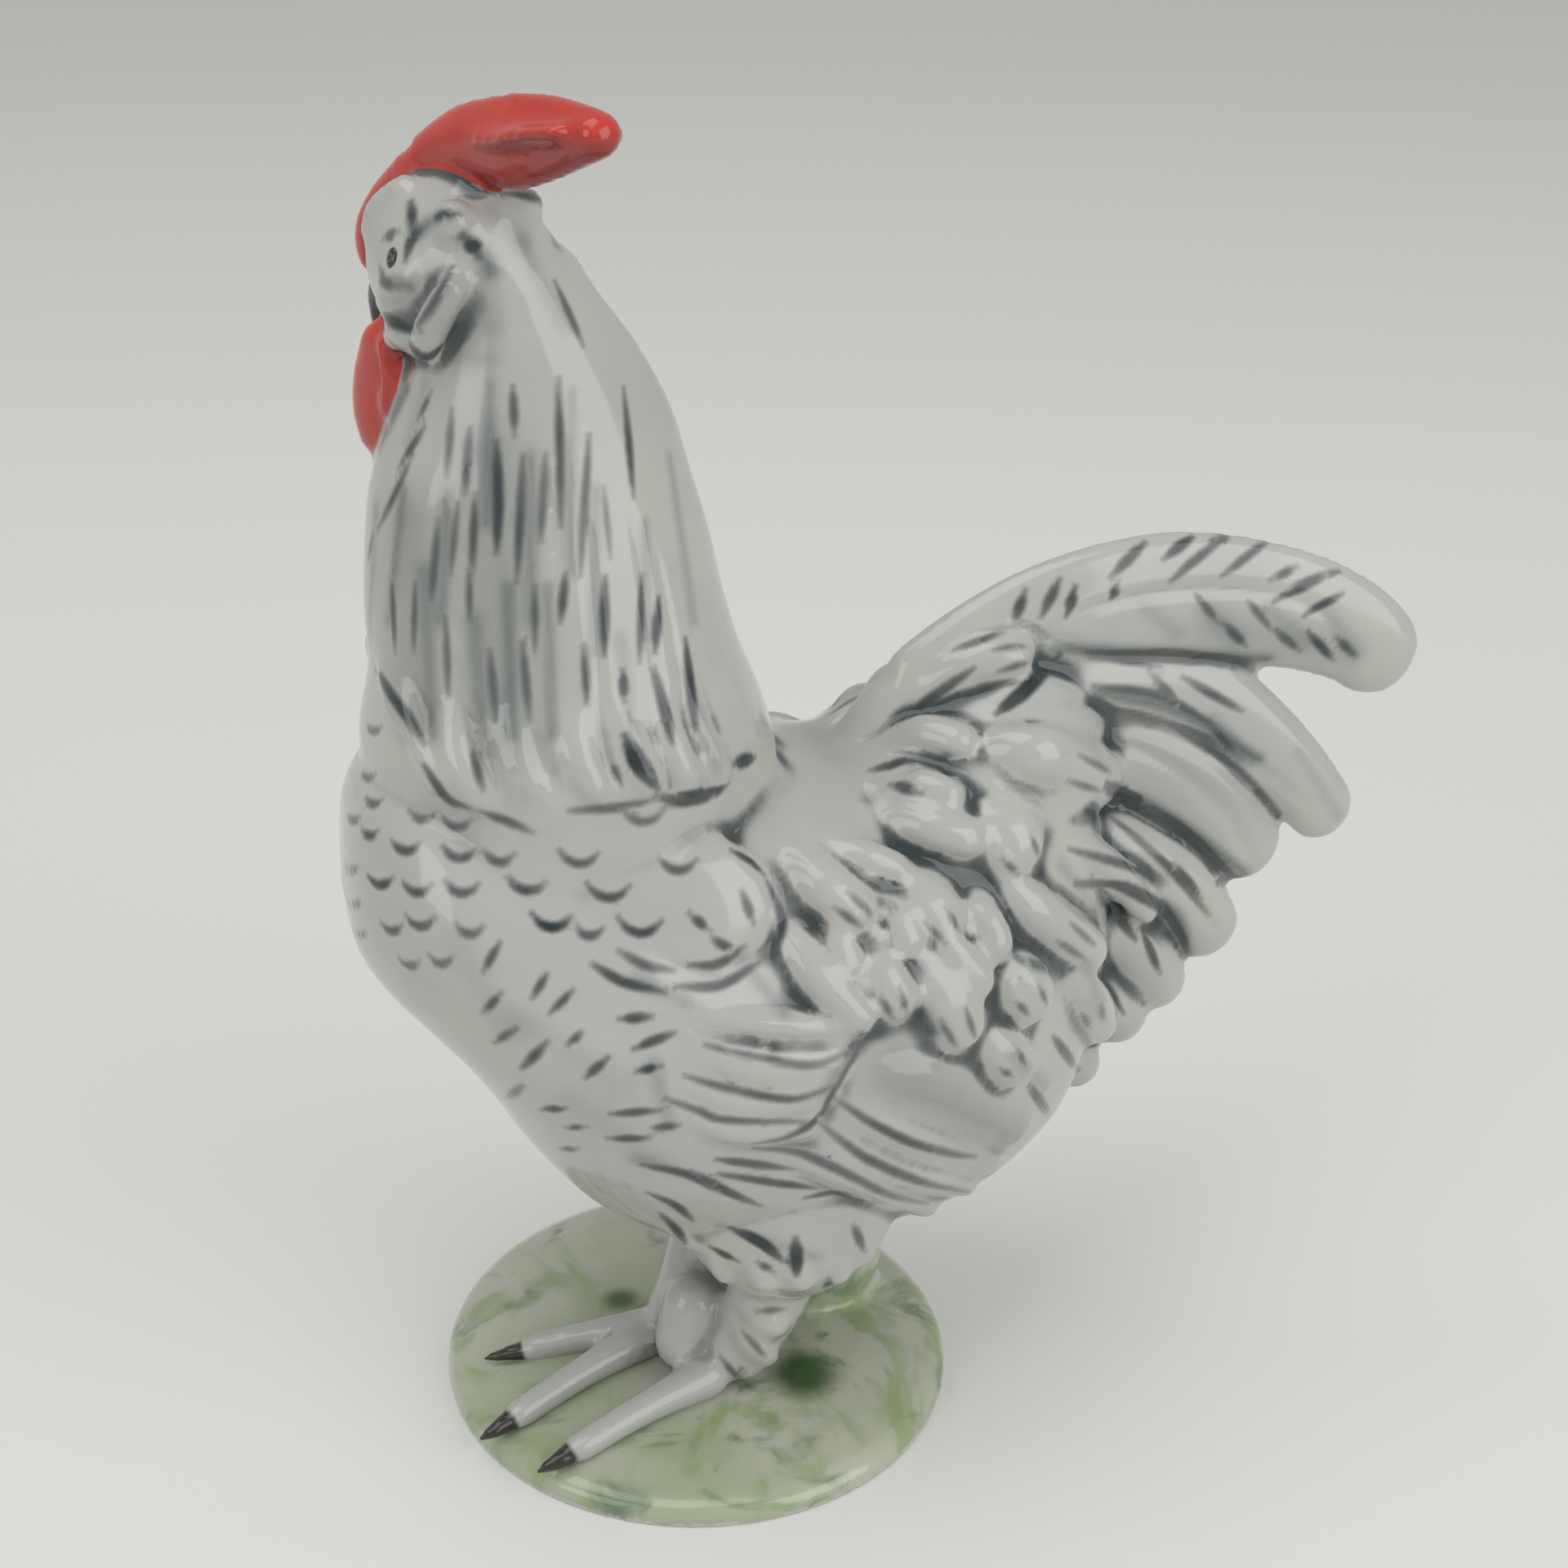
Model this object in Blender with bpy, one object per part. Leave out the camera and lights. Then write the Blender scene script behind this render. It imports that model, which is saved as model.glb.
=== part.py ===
"""Porcelain rooster figurine, one slip-cast piece on a low green mound.

The bird faces -X with its tail at +X. The origin is the centre of the flat
underside of the mound, and +Z is up. Sculpted forms are lofts and swept
feathers, fused into one skin and eased as a glaze eases them.
"""

import math

import bmesh
import bpy
import numpy as np
from mathutils import Vector
from mathutils.bvhtree import BVHTree

MM = 0.001

# Mound
MOUND_LENGTH = 60.0 * MM
MOUND_DEPTH = 64.0 * MM
MOUND_RIM = 3.0 * MM
MOUND_RISE = 2.2 * MM
SUPPORT_RADIUS = 8.5 * MM
VENT_RADIUS = 2.0 * MM
VENT_DEPTH = 3.0 * MM
VENT_PLACE = 14.0 * MM

# Trunk, carried above the mound by the legs and the support
GROUND_CLEARANCE = 17.0 * MM
TRUNK_LENGTH = 86.0 * MM
TRUNK_HEIGHT = 60.0 * MM
TRUNK_WIDTH = 55.0 * MM
BREAST_OVERHANG = 38.2 * MM
BIRD_OFFSET = -3.3 * MM

# Neck and its mantle of hackle feathers
NECK_RISE = 53.0 * MM
NECK_DEPTH = 45.0 * MM
NECK_WIDTH = 43.0 * MM

# Head, turned to the bird's right
HEAD_LENGTH = 21.0 * MM
HEAD_WIDTH = 16.4 * MM
HEAD_HEIGHT = 18.5 * MM
HEAD_TURN = math.radians(60)
BEAK_LENGTH = 6.8 * MM
BEAK_RADIUS = 2.7 * MM
BROW_RADIUS = 1.7 * MM
CHEEK_RADIUS = 3.0 * MM
EAR_TUFT_RADIUS = 2.0 * MM
EAR_LOBE_RADIUS = 1.6 * MM
COMB_HEIGHT = 9.5 * MM
COMB_THICKNESS = 4.6 * MM
WATTLE_LENGTH = 14.5 * MM
WATTLE_WIDTH = 7.2 * MM
WATTLE_THICKNESS = 3.6 * MM

# Tail
TAIL_LENGTH = 64.0 * MM
TAIL_HEIGHT = 73.0 * MM
TAIL_ROOT_THICKNESS = 26.0 * MM
TAIL_TIP_THICKNESS = 4.4 * MM

# Feathers modelled in relief: how far their tips stand proud
COVERT_RELIEF = 2.6 * MM
SHOULDER_RELIEF = 3.2 * MM
WING_RELIEF = 1.7 * MM
HACKLE_RELIEF = 1.6 * MM
FLUFF_RELIEF = 1.1 * MM
BOOT_RELIEF = 1.2 * MM

# Legs
SHANK_RADIUS = 4.2 * MM
TOE_RADIUS = 1.9 * MM
CLAW_RADIUS = 1.25 * MM
CLAW_LENGTH = 4.6 * MM

# Skin
SKIN_GRID = 0.8 * MM
SKIN_EASING = 3
SKIN_TRIANGLES = 11400

# The flank drawing is laid out on the middle plane as seen from here
EYE = (-54.0 * MM, -243.0 * MM, 186.0 * MM)
OUTLINE_STEP = 0.01
OUTLINE_TRIES = 12

MOUND_TOP = MOUND_RIM + MOUND_RISE
TRUNK_FRONT = -BREAST_OVERHANG
TRUNK_BOTTOM = MOUND_TOP + GROUND_CLEARANCE


def curve(points, steps, eased_ends=True):
    """Points on a smooth curve through the given points, closer together near both ends."""
    points = np.asarray(points, float)
    count = len(points)
    share = np.linspace(0, 1, steps)
    if eased_ends:
        share = (1 - np.cos(np.pi * share)) / 2
    place = share * (count - 1)
    low = np.clip(place.astype(int), 0, count - 2)
    t = (place - low)[:, None]
    padded = np.vstack([2 * points[0] - points[1], points, 2 * points[-1] - points[-2]])
    a, b, c, d = (padded[low + k] for k in range(4))
    return b + t * ((c - a) + t * ((2 * a - 5 * b + 4 * c - d) + t * (3 * b - a - 3 * c + d))) / 2


def closed_rings(rings):
    """Vertices and faces of a closed skin over rings whose first and last have shrunk to points."""
    count, around = rings.shape[:2]
    inner = rings[1:-1].reshape(-1, 3)
    vertices = np.vstack([rings[0, :1], inner, rings[-1, :1]])
    index = 1 + np.arange((count - 2) * around).reshape(count - 2, around)
    beside = np.roll(index, -1, axis=1)
    quads = np.stack([index[:-1], beside[:-1], beside[1:], index[1:]], axis=-1).reshape(-1, 4)
    first = [(0, b, a) for a, b in zip(index[0], beside[0])]
    last = [(len(vertices) - 1, a, b) for a, b in zip(index[-1], beside[-1])]
    return vertices, [tuple(q) for q in quads] + first + last


def loft(stations, steps=40, around=40):
    """A closed skin through stations of (centre, reach ahead, reach behind, reach aside).

    A ring runs round its centre: the reach ahead serves one half, the reach behind the other.
    """
    table = curve([np.concatenate([np.asarray(v, float) for v in s]) for s in stations], steps)
    centre, ahead, behind, aside = (table[:, None, k : k + 3] for k in (0, 3, 6, 9))
    turn = np.linspace(0, 2 * np.pi, around, endpoint=False)[None, :, None]
    along = np.where(np.cos(turn) >= 0, ahead, -behind) * np.cos(turn)
    return closed_rings(centre + along + aside * np.sin(turn))


def sweep(points, across, thick, side=(0, 1, 0), steps=22, around=14):
    """A closed feather or limb along a path: half-width across it, half-thickness along side."""
    count = len(points)
    table = np.column_stack([points, np.broadcast_to(across, count), np.broadcast_to(thick, count)])
    table = curve(table, steps)
    path, across, thick = table[:, :3], table[:, 3], table[:, 4]
    tangent = np.gradient(path, axis=0)
    tangent /= np.linalg.norm(tangent, axis=1, keepdims=True)
    out = np.asarray(side, float) - tangent * (tangent @ np.asarray(side, float))[:, None]
    out /= np.linalg.norm(out, axis=1, keepdims=True)
    flat = np.cross(tangent, out)
    run = np.concatenate([[0], np.cumsum(np.linalg.norm(np.diff(path, axis=0), axis=1))])
    near_end = np.minimum(run / across[0], (run[-1] - run) / across[-1]).clip(0, 1)
    rounding = np.sqrt(1 - (1 - near_end) ** 2)
    turn = np.linspace(0, 2 * np.pi, around, endpoint=False)
    rings = (
        path[:, None]
        + flat[:, None] * (across * rounding)[:, None, None] * np.cos(turn)[None, :, None]
        + out[:, None] * (thick * rounding)[:, None, None] * np.sin(turn)[None, :, None]
    )
    return closed_rings(rings)


def outward(skin):
    """The same skin with its faces turned to point outwards."""
    vertices, faces = skin
    volume = 0.0
    for face in faces:
        for k in range(1, len(face) - 1):
            volume += np.linalg.det(vertices[[face[0], face[k], face[k + 1]]])
    return (vertices, faces) if volume > 0 else (vertices, [face[::-1] for face in faces])


def joined(skins):
    vertices, faces, start = [], [], 0
    for points, polygons in map(outward, skins):
        vertices.append(points)
        faces += [tuple(int(start + i) for i in polygon) for polygon in polygons]
        start += len(points)
    return np.vstack(vertices), faces


def tree_of(skins):
    vertices, faces = joined(skins)
    return BVHTree.FromPolygons([Vector(v) for v in vertices], faces)


def bird(x, y, z):
    """A point given from the bird's middle plane, in the figurine's frame."""
    return (x, y + BIRD_OFFSET, z)


def on_trunk(along, height, aside=0.0):
    """A point at shares of the trunk's length and height, and of its half-width."""
    return bird(
        TRUNK_FRONT + along * TRUNK_LENGTH,
        aside * TRUNK_WIDTH / 2,
        TRUNK_BOTTOM + height * TRUNK_HEIGHT,
    )


# Trunk stations: share of length, lowest, widest and highest shares of height, share of half-width
TRUNK_STATIONS = (
    (0.000, 0.80, 0.80, 0.80, 0.00),
    (0.012, 0.68, 0.82, 0.96, 0.30),
    (0.045, 0.60, 0.80, 1.04, 0.54),
    (0.090, 0.53, 0.77, 1.08, 0.72),
    (0.145, 0.43, 0.72, 1.08, 0.84),
    (0.210, 0.27, 0.64, 1.06, 0.92),
    (0.290, 0.13, 0.58, 1.02, 0.98),
    (0.385, 0.04, 0.54, 0.97, 1.00),
    (0.490, 0.00, 0.52, 0.95, 1.00),
    (0.600, 0.00, 0.52, 0.94, 0.97),
    (0.700, -0.01, 0.54, 0.95, 0.89),
    (0.790, 0.01, 0.56, 0.98, 0.77),
    (0.870, 0.06, 0.58, 1.01, 0.61),
    (0.940, 0.15, 0.58, 0.96, 0.42),
    (0.985, 0.34, 0.56, 0.80, 0.22),
    (1.000, 0.56, 0.56, 0.56, 0.00),
)

# Neck stations: share of rise, front and rear as shares of the neck's depth, share of half-width
NECK_STATIONS = (
    (-0.62, 0.50, 0.50, 0.00),
    (-0.46, 0.24, 0.80, 0.80),
    (-0.26, 0.12, 0.98, 1.05),
    (-0.11, 0.07, 1.06, 1.01),
    (0.00, 0.07, 1.07, 0.97),
    (0.10, 0.07, 1.02, 0.92),
    (0.22, 0.10, 0.96, 0.83),
    (0.34, 0.10, 0.92, 0.76),
    (0.46, 0.11, 0.89, 0.70),
    (0.58, 0.13, 0.85, 0.65),
    (0.70, 0.18, 0.81, 0.60),
    (0.82, 0.23, 0.74, 0.54),
    (0.93, 0.26, 0.65, 0.48),
    (1.03, 0.26, 0.57, 0.40),
    (1.12, 0.40, 0.40, 0.00),
)


def trunk():
    stations = []
    for along, low, wide, high, half in TRUNK_STATIONS:
        up = (high - wide) * TRUNK_HEIGHT
        down = (wide - low) * TRUNK_HEIGHT
        stations.append(
            (on_trunk(along, wide), (0, 0, up), (0, 0, -down), (0, half * TRUNK_WIDTH / 2, 0))
        )
    return loft(stations, steps=48, around=48)


NECK_FOOT = TRUNK_BOTTOM + TRUNK_HEIGHT


def neck():
    stations = []
    for rise, front, rear, half in NECK_STATIONS:
        middle = (front + rear) / 2
        reach = (rear - front) / 2 * NECK_DEPTH
        centre = bird(TRUNK_FRONT + middle * NECK_DEPTH, 0, NECK_FOOT + rise * NECK_RISE)
        stations.append((centre, (-reach, 0, 0), (reach, 0, 0), (0, half * NECK_WIDTH / 2, 0)))
    return loft(stations, steps=48, around=40)


HEAD_CENTRE = bird(TRUNK_FRONT + 0.36 * NECK_DEPTH, 0, NECK_FOOT + 0.99 * NECK_RISE)


def in_head(forward, left, up):
    """A point at shares of the head's half-length, half-width and half-height from its centre."""
    u = forward * HEAD_LENGTH / 2
    v = left * HEAD_WIDTH / 2
    return (
        HEAD_CENTRE[0] - u * math.cos(HEAD_TURN) - v * math.sin(HEAD_TURN),
        HEAD_CENTRE[1] + u * math.sin(HEAD_TURN) - v * math.cos(HEAD_TURN),
        HEAD_CENTRE[2] + up * HEAD_HEIGHT / 2,
    )


def head_axis(forward, left):
    return (
        -forward * math.cos(HEAD_TURN) - left * math.sin(HEAD_TURN),
        forward * math.sin(HEAD_TURN) - left * math.cos(HEAD_TURN),
        0.0,
    )


def lump(forward, left, up, reach):
    """A rounded swelling on the head, given by its centre and its half-size."""
    low = in_head(forward, left, up)
    points = [(low[0], low[1], low[2] + k * reach) for k in (-1, 0, 1)]
    return sweep(points, reach, reach, head_axis(0, 1), steps=12, around=12)


def skull():
    """Skull with, on each side, the brow, the cheek, the ear tuft and the ear lobe."""
    stations = []
    for k in np.linspace(-1, 1, 9):
        half = math.sqrt(max(0.0, 1 - k * k))
        up = half * HEAD_HEIGHT / 2
        wide = np.array(head_axis(0, 1)) * half * HEAD_WIDTH / 2
        stations.append((in_head(k, 0, 0), (0, 0, up), (0, 0, -up), wide))
    skins = [loft(stations, steps=24, around=28)]
    for side in (1, -1):
        axis = head_axis(0, side)
        brow = [in_head(0.62, side * 0.52, 0.12), in_head(0.55, side * 0.54, 0.52)]
        brow.append(in_head(0.10, side * 0.48, 0.84))
        skins.append(sweep(brow, BROW_RADIUS, BROW_RADIUS, axis, steps=12, around=12))
        skins.append(lump(-0.16, side * 0.88, -0.10, CHEEK_RADIUS))
        skins.append(lump(-0.50, side * 0.55, 0.60, EAR_TUFT_RADIUS))
        lobe = [in_head(-0.78, side * 0.82, 0.08), in_head(-0.52, side * 0.94, -0.34)]
        lobe.append(in_head(-0.24, side * 0.90, -0.80))
        skins.append(sweep(lobe, EAR_LOBE_RADIUS, EAR_LOBE_RADIUS, axis, steps=12, around=12))
    return skins


def beak():
    """A stout beak that runs forward and hooks down at its end."""
    root = np.array(in_head(0.70, 0, -0.40))
    ahead = np.array(head_axis(1, 0))
    down = np.array((0, 0, -1.0))
    bend = root + (0.88 * ahead + 0.16 * down) * BEAK_LENGTH
    tip = root + (0.98 * ahead + 0.88 * down) * BEAK_LENGTH
    radii = np.array((1.1, 0.62, 0.26)) * BEAK_RADIUS
    return [sweep([root, bend, tip], radii, 0.85 * radii, head_axis(0, 1), steps=16, around=14)]


# Comb line: forward and left shares of the head's half-sizes, then the height of its middle above the
# crown and its half-height as shares of the comb's height
COMB_LINE = (
    (1.18, 0.00, -1.34, 0.20),
    (1.20, 0.00, -0.96, 0.27),
    (1.04, 0.00, -0.60, 0.28),
    (0.74, 0.02, -0.26, 0.27),
    (0.40, 0.02, 0.05, 0.24),
    (-0.20, 0.04, 0.27, 0.37),
    (-0.84, 0.08, 0.35, 0.46),
    (-1.45, 0.12, 0.49, 0.41),
    (-2.00, 0.16, 0.58, 0.27),
    (-2.30, 0.18, 0.62, 0.18),
)


def comb():
    crown = HEAD_CENTRE[2] + HEAD_HEIGHT / 2
    points, halves = [], []
    for forward, left, middle, half in COMB_LINE:
        x, y, _ = in_head(forward, left, 0)
        points.append((x, y, crown + middle * COMB_HEIGHT))
        halves.append(half * COMB_HEIGHT)
    thick = np.linspace(0.7, 1.1, len(points)) * COMB_THICKNESS / 2
    return [sweep(points, halves, thick, head_axis(0, 1), steps=34, around=20)]


def wattles():
    """The two lobes that hang under the beak, fullest below their middle."""
    skins = []
    for side in (1, -1):
        points = [
            in_head(forward, side * 0.30, -0.60 - share * 2 * WATTLE_LENGTH / HEAD_HEIGHT)
            for forward, share in ((0.80, 0.0), (0.88, 0.33), (0.99, 0.68), (0.93, 1.0))
        ]
        widths = np.array((0.50, 0.90, 1.0, 0.60)) * WATTLE_WIDTH / 2
        skins.append(
            sweep(points, widths, WATTLE_THICKNESS / 2, head_axis(0, side), steps=18, around=16)
        )
    return skins


TAIL_ROOT = on_trunk(0.68, 0.0)[0]
TAIL_LOW = TRUNK_BOTTOM + 0.10 * TRUNK_HEIGHT

# Tail feathers, top to bottom: path as shares of the tail's length and height, half-widths at the
# root, the middle and the tip as shares of its length, and share of the root thickness
TAIL_FEATHERS = (
    (
        (
            (-0.05, 0.66),
            (0.10, 0.77),
            (0.30, 0.86),
            (0.52, 0.885),
            (0.74, 0.86),
            (0.90, 0.80),
            (0.985, 0.715),
        ),
        (0.10, 0.13, 0.075),
        0.26,
    ),
    (
        ((0.00, 0.60), (0.20, 0.70), (0.40, 0.76), (0.60, 0.72), (0.76, 0.61), (0.895, 0.47)),
        (0.08, 0.11, 0.062),
        0.34,
    ),
    (
        ((0.00, 0.54), (0.18, 0.62), (0.36, 0.66), (0.52, 0.62), (0.66, 0.52), (0.745, 0.41)),
        (0.08, 0.11, 0.070),
        0.44,
    ),
    (
        ((0.00, 0.46), (0.18, 0.52), (0.34, 0.53), (0.48, 0.47), (0.60, 0.38), (0.675, 0.275)),
        (0.08, 0.10, 0.065),
        0.54,
    ),
    (
        ((0.00, 0.38), (0.16, 0.42), (0.30, 0.42), (0.43, 0.36), (0.52, 0.28), (0.585, 0.19)),
        (0.08, 0.09, 0.055),
        0.62,
    ),
    (
        ((0.00, 0.30), (0.14, 0.33), (0.27, 0.32), (0.38, 0.26), (0.46, 0.20), (0.52, 0.14)),
        (0.07, 0.08, 0.050),
        0.68,
    ),
    (
        ((0.00, 0.22), (0.12, 0.24), (0.24, 0.21), (0.34, 0.15), (0.44, 0.07)),
        (0.07, 0.07, 0.045),
        0.72,
    ),
)


def tail():
    skins = []
    for path, (root, middle, tip), share in TAIL_FEATHERS:
        points = [
            bird(TAIL_ROOT + along * TAIL_LENGTH, 0, TAIL_LOW + height * TAIL_HEIGHT)
            for along, height in path
        ]
        place = np.linspace(0, 1, len(points))
        widths = np.interp(place, (0, 0.5, 1), (root, middle, tip)) * TAIL_LENGTH
        thick = np.interp(place, (0, 1), (share * TAIL_ROOT_THICKNESS, TAIL_TIP_THICKNESS)) / 2
        skins.append(sweep(points, widths, thick, steps=30, around=20))
    return skins


# Feathers on the left flank, each drawn from its root to its tip in shares of the trunk's length and
# height, with the half-width of its tip
TAIL_COVERTS = (
    (((0.713, 1.002), (0.810, 1.091), (0.889, 1.104)), 2.7 * MM),
    (((0.687, 0.949), (0.747, 0.964), (0.819, 0.923)), 2.2 * MM),
    (((0.671, 0.878), (0.737, 0.867), (0.805, 0.814)), 1.8 * MM),
    (((0.830, 0.926), (0.915, 0.896), (1.009, 0.822)), 3.4 * MM),
    (((0.672, 0.837), (0.750, 0.782), (0.835, 0.725)), 2.3 * MM),
    (((0.827, 0.811), (0.869, 0.736), (0.902, 0.666)), 4.5 * MM),
    (((0.848, 0.680), (0.920, 0.562), (1.000, 0.457)), 2.7 * MM),
    (((0.559, 0.798), (0.612, 0.688), (0.681, 0.586)), 2.5 * MM),
    (((0.701, 0.698), (0.752, 0.628), (0.797, 0.533)), 3.1 * MM),
    (((0.820, 0.633), (0.839, 0.560), (0.861, 0.476)), 2.1 * MM),
    (((0.563, 0.612), (0.602, 0.510), (0.642, 0.419)), 2.1 * MM),
    (((0.663, 0.576), (0.698, 0.473), (0.726, 0.376)), 2.5 * MM),
    (((0.731, 0.510), (0.784, 0.420), (0.821, 0.295)), 3.4 * MM),
    (((0.864, 0.484), (0.895, 0.415), (0.923, 0.350)), 3.4 * MM),
    (((0.954, 0.431), (0.991, 0.369), (1.012, 0.294)), 2.5 * MM),
    (((0.845, 0.317), (0.873, 0.265), (0.900, 0.218)), 3.0 * MM),
)
WING_SHOULDER = ((((0.327, 0.724), (0.390, 0.721), (0.465, 0.656)), 7.9 * MM),)
WING_QUILLS = (
    (((0.430, 0.440), (0.551, 0.391), (0.667, 0.367)), 1.7 * MM),
    (((0.424, 0.371), (0.529, 0.307), (0.656, 0.294)), 2.0 * MM),
    (((0.412, 0.302), (0.517, 0.233), (0.636, 0.240)), 2.0 * MM),
    (((0.411, 0.243), (0.494, 0.180), (0.611, 0.168)), 1.8 * MM),
    (((0.677, 0.271), (0.783, 0.201), (0.911, 0.078)), 4.0 * MM),
    (((0.620, 0.207), (0.737, 0.105), (0.865, 0.007)), 1.8 * MM),
    (((0.591, 0.152), (0.703, 0.042), (0.842, -0.050)), 1.6 * MM),
    (((0.528, 0.130), (0.656, 0.030), (0.776, -0.068)), 1.4 * MM),
)
HACKLE_TIPS = (
    (((0.066, 1.280), (0.074, 1.175), (0.097, 1.081)), 1.2 * MM),
    (((0.100, 1.216), (0.109, 1.079), (0.135, 0.948)), 1.5 * MM),
    (((0.152, 1.164), (0.161, 1.025), (0.190, 0.897)), 1.8 * MM),
    (((0.225, 1.138), (0.236, 0.997), (0.260, 0.863)), 1.9 * MM),
    (((0.300, 1.142), (0.308, 1.017), (0.329, 0.895)), 1.6 * MM),
    (((0.356, 1.134), (0.369, 1.015), (0.393, 0.900)), 1.6 * MM),
    (((0.407, 1.142), (0.421, 1.023), (0.444, 0.900)), 1.4 * MM),
    (((0.448, 1.136), (0.463, 1.024), (0.486, 0.909)), 1.3 * MM),
    (((0.485, 1.161), (0.505, 1.065), (0.529, 0.979)), 1.1 * MM),
)
THIGH_FLUFF = (
    (((0.413, -0.020), (0.435, -0.102), (0.448, -0.167)), 1.3 * MM),
    (((0.459, -0.051), (0.481, -0.133), (0.498, -0.206)), 1.4 * MM),
    (((0.516, -0.065), (0.533, -0.147), (0.551, -0.234)), 1.5 * MM),
    (((0.569, -0.078), (0.586, -0.161), (0.598, -0.256)), 1.5 * MM),
    (((0.615, -0.071), (0.634, -0.153), (0.644, -0.250)), 1.4 * MM),
    (((0.656, -0.043), (0.675, -0.115), (0.679, -0.185)), 1.3 * MM),
)
BOOT_FEATHERS = (
    (((0.492, -0.214), (0.533, -0.274), (0.569, -0.334)), 1.4 * MM),
    (((0.486, -0.232), (0.521, -0.321), (0.545, -0.408)), 1.4 * MM),
    (((0.469, -0.247), (0.497, -0.354), (0.517, -0.457)), 1.4 * MM),
    (((0.445, -0.260), (0.465, -0.365), (0.476, -0.474)), 1.4 * MM),
    (((0.422, -0.254), (0.430, -0.356), (0.437, -0.463)), 1.4 * MM),
)


def seated(tree, along, height):
    """Where the sight line through a point of the drawing meets the left flank, and the way out there.

    A point just past the outline is raised until its sight line meets the bird.
    """
    eye = Vector(EYE)
    for raised in range(OUTLINE_TRIES):
        drawn = Vector(on_trunk(along, height + raised * OUTLINE_STEP))
        place, normal, _, _ = tree.ray_cast(eye, (drawn - eye).normalized())
        if place is not None:
            break
    else:
        place, normal, _, _ = tree.find_nearest(drawn)
    if normal.dot(eye - place) < 0:
        normal = -normal
    return np.array(place), np.array(normal)


def feathers(tree, drawing, relief, flatness=0.6):
    """Feathers lying on the flank, their roots sunk in it and their tips standing proud."""
    skins = []
    for path, half_width in drawing:
        seats = [seated(tree, along, height) for along, height in path]
        out = sum(normal for _, normal in seats)
        out /= np.linalg.norm(out)
        thick = flatness * half_width
        share = np.linspace(0, 1, len(seats))
        lift = np.interp(share, (0, 0.6, 1), (0, relief, relief)) - thick
        points = [place + out * up for (place, _), up in zip(seats, lift)]
        widths = np.interp(share, (0, 0.7, 1), (0.7, 1.0, 1.0)) * half_width
        skins.append(sweep(points, widths, thick, out, steps=18, around=14))
    return skins


def mirrored(skins):
    """The same skins on the other side of the bird's middle plane."""
    turned = []
    for vertices, faces in skins:
        vertices = vertices * (1, -1, 1) + (0, 2 * BIRD_OFFSET, 0)
        turned.append((vertices, faces))
    return turned


def plumage(tree):
    skins = feathers(tree, TAIL_COVERTS, COVERT_RELIEF, 0.8)
    skins += feathers(tree, WING_SHOULDER, SHOULDER_RELIEF)
    skins += feathers(tree, WING_QUILLS, WING_RELIEF, 0.7)
    skins += feathers(tree, HACKLE_TIPS, HACKLE_RELIEF)
    skins += feathers(tree, THIGH_FLUFF, FLUFF_RELIEF)
    return skins + mirrored(skins)


def saddle():
    """The full root of the tail, rising from the back."""
    points = [on_trunk(0.56, 0.60), on_trunk(0.70, 0.74), on_trunk(0.84, 0.90), on_trunk(0.98, 1.00)]
    widths = np.array((0.30, 0.26, 0.20, 0.14)) * TRUNK_HEIGHT
    thick = np.array((0.78, 0.72, 0.52, 0.30)) * TRUNK_WIDTH / 2
    return sweep(points, widths, thick, steps=24, around=24)


def thighs():
    skins = []
    for side in (-1, 1):
        points = [
            on_trunk(0.50, 0.42, side * 0.42),
            on_trunk(0.53, 0.16, side * 0.44),
            on_trunk(0.56, -0.06, side * 0.42),
        ]
        radii = np.array((0.25, 0.22, 0.13)) * TRUNK_HEIGHT
        skins.append(sweep(points, radii, radii * 0.82, steps=16, around=20))
    return skins


# Feet: where each ankle stands on the mound, and where its toes end
NEAR_ANKLE = (0.5 * MM, -12.5 * MM)
FAR_ANKLE = (-4.5 * MM, -3.0 * MM)
NEAR_TOES = ((-19.5 * MM, -20.5 * MM),)
FAR_TOES = ((-21.5 * MM, -0.5 * MM), (-25.0 * MM, -13.0 * MM))


def leg(ankle, toes, side):
    """Shank and toes, and the claws apart."""
    x, y = ankle
    hip = on_trunk(0.53, 0.04, side * 0.40)
    knee = (x + SHANK_RADIUS, y, MOUND_TOP + GROUND_CLEARANCE * 0.5)
    foot = (x, y, MOUND_TOP + TOE_RADIUS * 0.4)
    radii = np.array((1.35, 1.05, 0.85)) * SHANK_RADIUS
    skins = [sweep([hip, knee, foot], radii, radii, steps=16, around=14)]
    claws = []
    for tip in toes:
        run = np.array((tip[0] - x, tip[1] - y, 0))
        ahead = run / np.linalg.norm(run)
        start = np.array((x, y, MOUND_TOP + TOE_RADIUS * 0.8))
        middle = start + run * 0.5 + np.array((0, 0, -0.3 * TOE_RADIUS))
        end = start + run + np.array((0, 0, -1.1 * TOE_RADIUS))
        radii = np.array((1.5, 1.0, 0.9)) * TOE_RADIUS
        skins.append(sweep([start, middle, end], radii, radii, steps=16, around=12))
        point = end + ahead * CLAW_LENGTH + np.array((0, 0, -0.5 * CLAW_RADIUS))
        radii = np.array((1.15, 0.8, 0.2)) * CLAW_RADIUS
        back = end - ahead * CLAW_RADIUS
        claws.append(sweep([back, (back + point) / 2, point], radii, radii, steps=12, around=10))
    return skins, claws


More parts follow.
